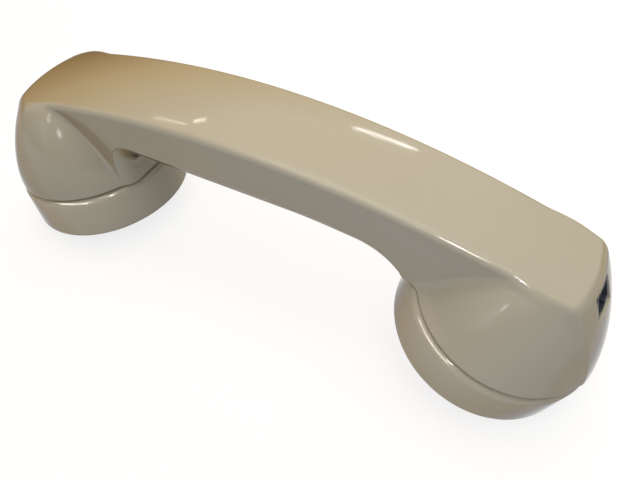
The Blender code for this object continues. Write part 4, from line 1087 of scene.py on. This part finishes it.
def make_lights(caps):
    """Soft light from all round, small lamps for the gloss, and two of the lamps for the caps alone."""
    area_light("ceiling", 90.0, 76.0, 1.2, (50.0, 34.0), 1.9, mirrored=True)
    area_light("window_back", 95.0, 28.0, 0.6, (60.0, 40.0), 1.5, "#FFF8F0")
    area_light("front_above", -64.0, 62.0, 0.7, (46.0, 28.0), 2.4, "#F6F4F6")
    area_light("window_front", -100.0, 24.0, 0.55, (50.0, 40.0), 0.12, "#FFF6E8")
    area_light("window_right", -84.0, 26.0, 0.5, (30.0, 24.0), 6.0, "#C4D4FF",
               aim=GRIP_SIDE_AIM, spread=36.0)
    cap_window = area_light("cap_window", -106.0, 18.0, 0.55, (50.0, 40.0), 0.5, "#FFF6EC")
    area_light("lamp_warm", 170.0, 66.0, 0.45, (34.0, 34.0), 1.0, "#FFB858")
    gloss_lamp("strip_above", -104.0, 65.6, (46.0, 3.0), 16.0)
    gloss_lamp("lamp_above", -62.0, 57.0, (7.0, 5.0), 130.0)
    gloss_lamp("strip_behind", 100.0, 36.2, (10.0, 0.5), 32.0)
    gloss_lamp("strip_left_long", 144.4, 36.4, (6.0, 0.5), 9.0, "#FFF3E0", turn=-52.0)
    gloss_lamp("strip_left_short", 138.7, 38.1, (2.4, 0.6), 15.0, "#FFF3E0", turn=10.0)
    gloss_lamp("glint_high", -104.0, 31.0, (5.0, 5.0), 9.0, aim=RECEIVER_AIM, spread=8.0)
    gloss_lamp("glint_receiver", -86.0, 25.0, (9.0, 9.0), 12.0, aim=RECEIVER_AIM, spread=10.0)
    gloss_lamp("glint_transmitter", -105.0, 21.0, (5.0, 5.0), 8.0, aim=TRANSMITTER_AIM, spread=8.0)
    gloss_lamp("glow_transmitter", -112.0, 16.0, (18.0, 14.0), 1.3, "#D8E4FF",
               aim=TRANSMITTER_AIM, spread=24.0)
    shoulder_lamp = gloss_lamp("shoulder_lamp", -118.0, 37.0, (50.0, 14.0), 26.0, "#FFF8EC")
    for lamp in (cap_window, shoulder_lamp):
        lamp.light_linking.receiver_collection = caps


def make_camera():
    """The camera, at the photograph's viewpoint."""
    camera = place_in_scene("camera", bpy.data.cameras.new("camera"))
    back = toward(CAMERA_AZIMUTH - math.pi / 2, CAMERA_ELEVATION)
    level_right = toward(CAMERA_AZIMUTH, 0.0)
    level_up = back.cross(level_right)
    right = level_right * math.cos(CAMERA_ROLL) + level_up * math.sin(CAMERA_ROLL)
    up = level_up * math.cos(CAMERA_ROLL) - level_right * math.sin(CAMERA_ROLL)
    rotation = Matrix((right, up, back)).transposed().to_4x4()
    camera.matrix_world = Matrix.Translation(CAMERA_TARGET + back * CAMERA_DISTANCE) @ rotation
    camera.data.sensor_width = CAMERA_SENSOR_MM
    camera.data.lens = CAMERA_LENS_MM
    camera.data.shift_x, camera.data.shift_y = CAMERA_SHIFT
    camera.data.clip_start = MM
    bpy.context.scene.camera = camera


FINISHES = {
    "ivory_plastic": moulded_ivory_abs(),
    # Dark satin ABS of the jack: almost even, with a fine moulded grain
    "jack_plastic": plain_material("moulded_jack_plastic", "#43494D", "#383E42", 1.2, 0.38, 0.0, 0.01),
    # Drawn aluminium: cool, even and softly bright, with faint drawing marks
    "aluminium_sheet": plain_material("drawn_aluminium", "#D6D6D4", "#C6C7C7", 0.8, 0.32, 1.0, 0.004),
    # Thin formed foil: brighter and smoother than the sheet
    "diaphragm_foil": plain_material("formed_foil", "#DEDCD6", "#D0CEC8", 2.5, 0.24, 1.0, 0.006),
    # Zinc-plated steel: grey with a cloudy passivation
    "plated_steel": plain_material("zinc_plated_steel", "#B4B6B8", "#A0A39F", 1.5, 0.36, 1.0, 0.005),
    # Sintered ferrite: near black, dull and slightly grainy
    "ferrite": plain_material("sintered_ferrite", "#3B3B3E", "#2E2E30", 0.3, 0.62, 0.0, 0.02),
    # Enamelled copper winding: deep copper red under a clear varnish
    "enamelled_copper": plain_material(
        "enamelled_copper_winding", "#B5623A", "#99492A", 0.2, 0.22, 1.0, 0.02),
    # Plain brass: yellow with a little tarnish in the hollows
    "brass": plain_material("turned_brass", "#C9A24A", "#B48A3A", 2.0, 0.27, 1.0, 0.004),
    # Lacquered brass sheet: paler and evener than the turned brass
    "lacquered_brass": plain_material("lacquered_brass_sheet", "#C6AE74", "#BBA268", 3.0, 0.2, 1.0, 0.003),
    # Moulded phenolic: dark brown with lighter filler in it
    "phenolic": plain_material("moulded_phenolic", "#5A3A26", "#46291A", 0.5, 0.4, 0.0, 0.01),
    # Black suppressor body: even, slightly glossy
    "suppressor_body": plain_material("moulded_suppressor", "#2A2A2B", "#222223", 1.0, 0.34, 0.0, 0.005),
    # Wool felt: mottled grey with a short nap
    "felt": plain_material("wool_felt", "#8E8C88", "#6F6C67", 0.35, 0.95, 0.0, 0.15),
    # Open foam: grey with pores that can be seen
    "foam": plain_material("open_foam", "#8A8A86", "#5E5E5B", 0.6, 0.95, 0.0, 0.3),
    # Flexible vinyl insulation of the leads, semi-gloss
    "white_lead": plain_material("white_vinyl", "#DEDCD4", "#D2CFC5", 3.0, 0.38),
    "red_lead": plain_material("red_vinyl", "#B32A28", "#A02220", 3.0, 0.38),
    "black_lead": plain_material("black_vinyl", "#262626", "#1E1E1F", 3.0, 0.38),
}
dress_frame(FINISHES)
JACK_PLACE = jack_place()
dress(make_handle(JACK_PLACE), FINISHES["ivory_plastic"])
dress(make_mould_line(), FINISHES["ivory_plastic"])
CAPS = bpy.data.collections.new("caps")
for END, DISH_DEPTH, HOLE_RINGS in (
        (RECEIVER, RECEIVER_DISH_DEPTH, RECEIVER_HOLE_RINGS),
        (TRANSMITTER, TRANSMITTER_DISH_DEPTH, TRANSMITTER_HOLE_RINGS)):
    CAP = make_cap(END, DISH_DEPTH, HOLE_RINGS, FINISHES["ivory_plastic"])
    dress(CAP, FINISHES["ivory_plastic"])
    CAPS.objects.link(CAP)
dress(make_jack(JACK_PLACE), FINISHES["jack_plastic"])
dress(make_contacts(JACK_PLACE, FINISHES["brass"]), FINISHES["brass"])

make_floor()
make_room()
make_lights(CAPS)
make_camera()
bpy.context.scene.view_settings.view_transform = "Standard"
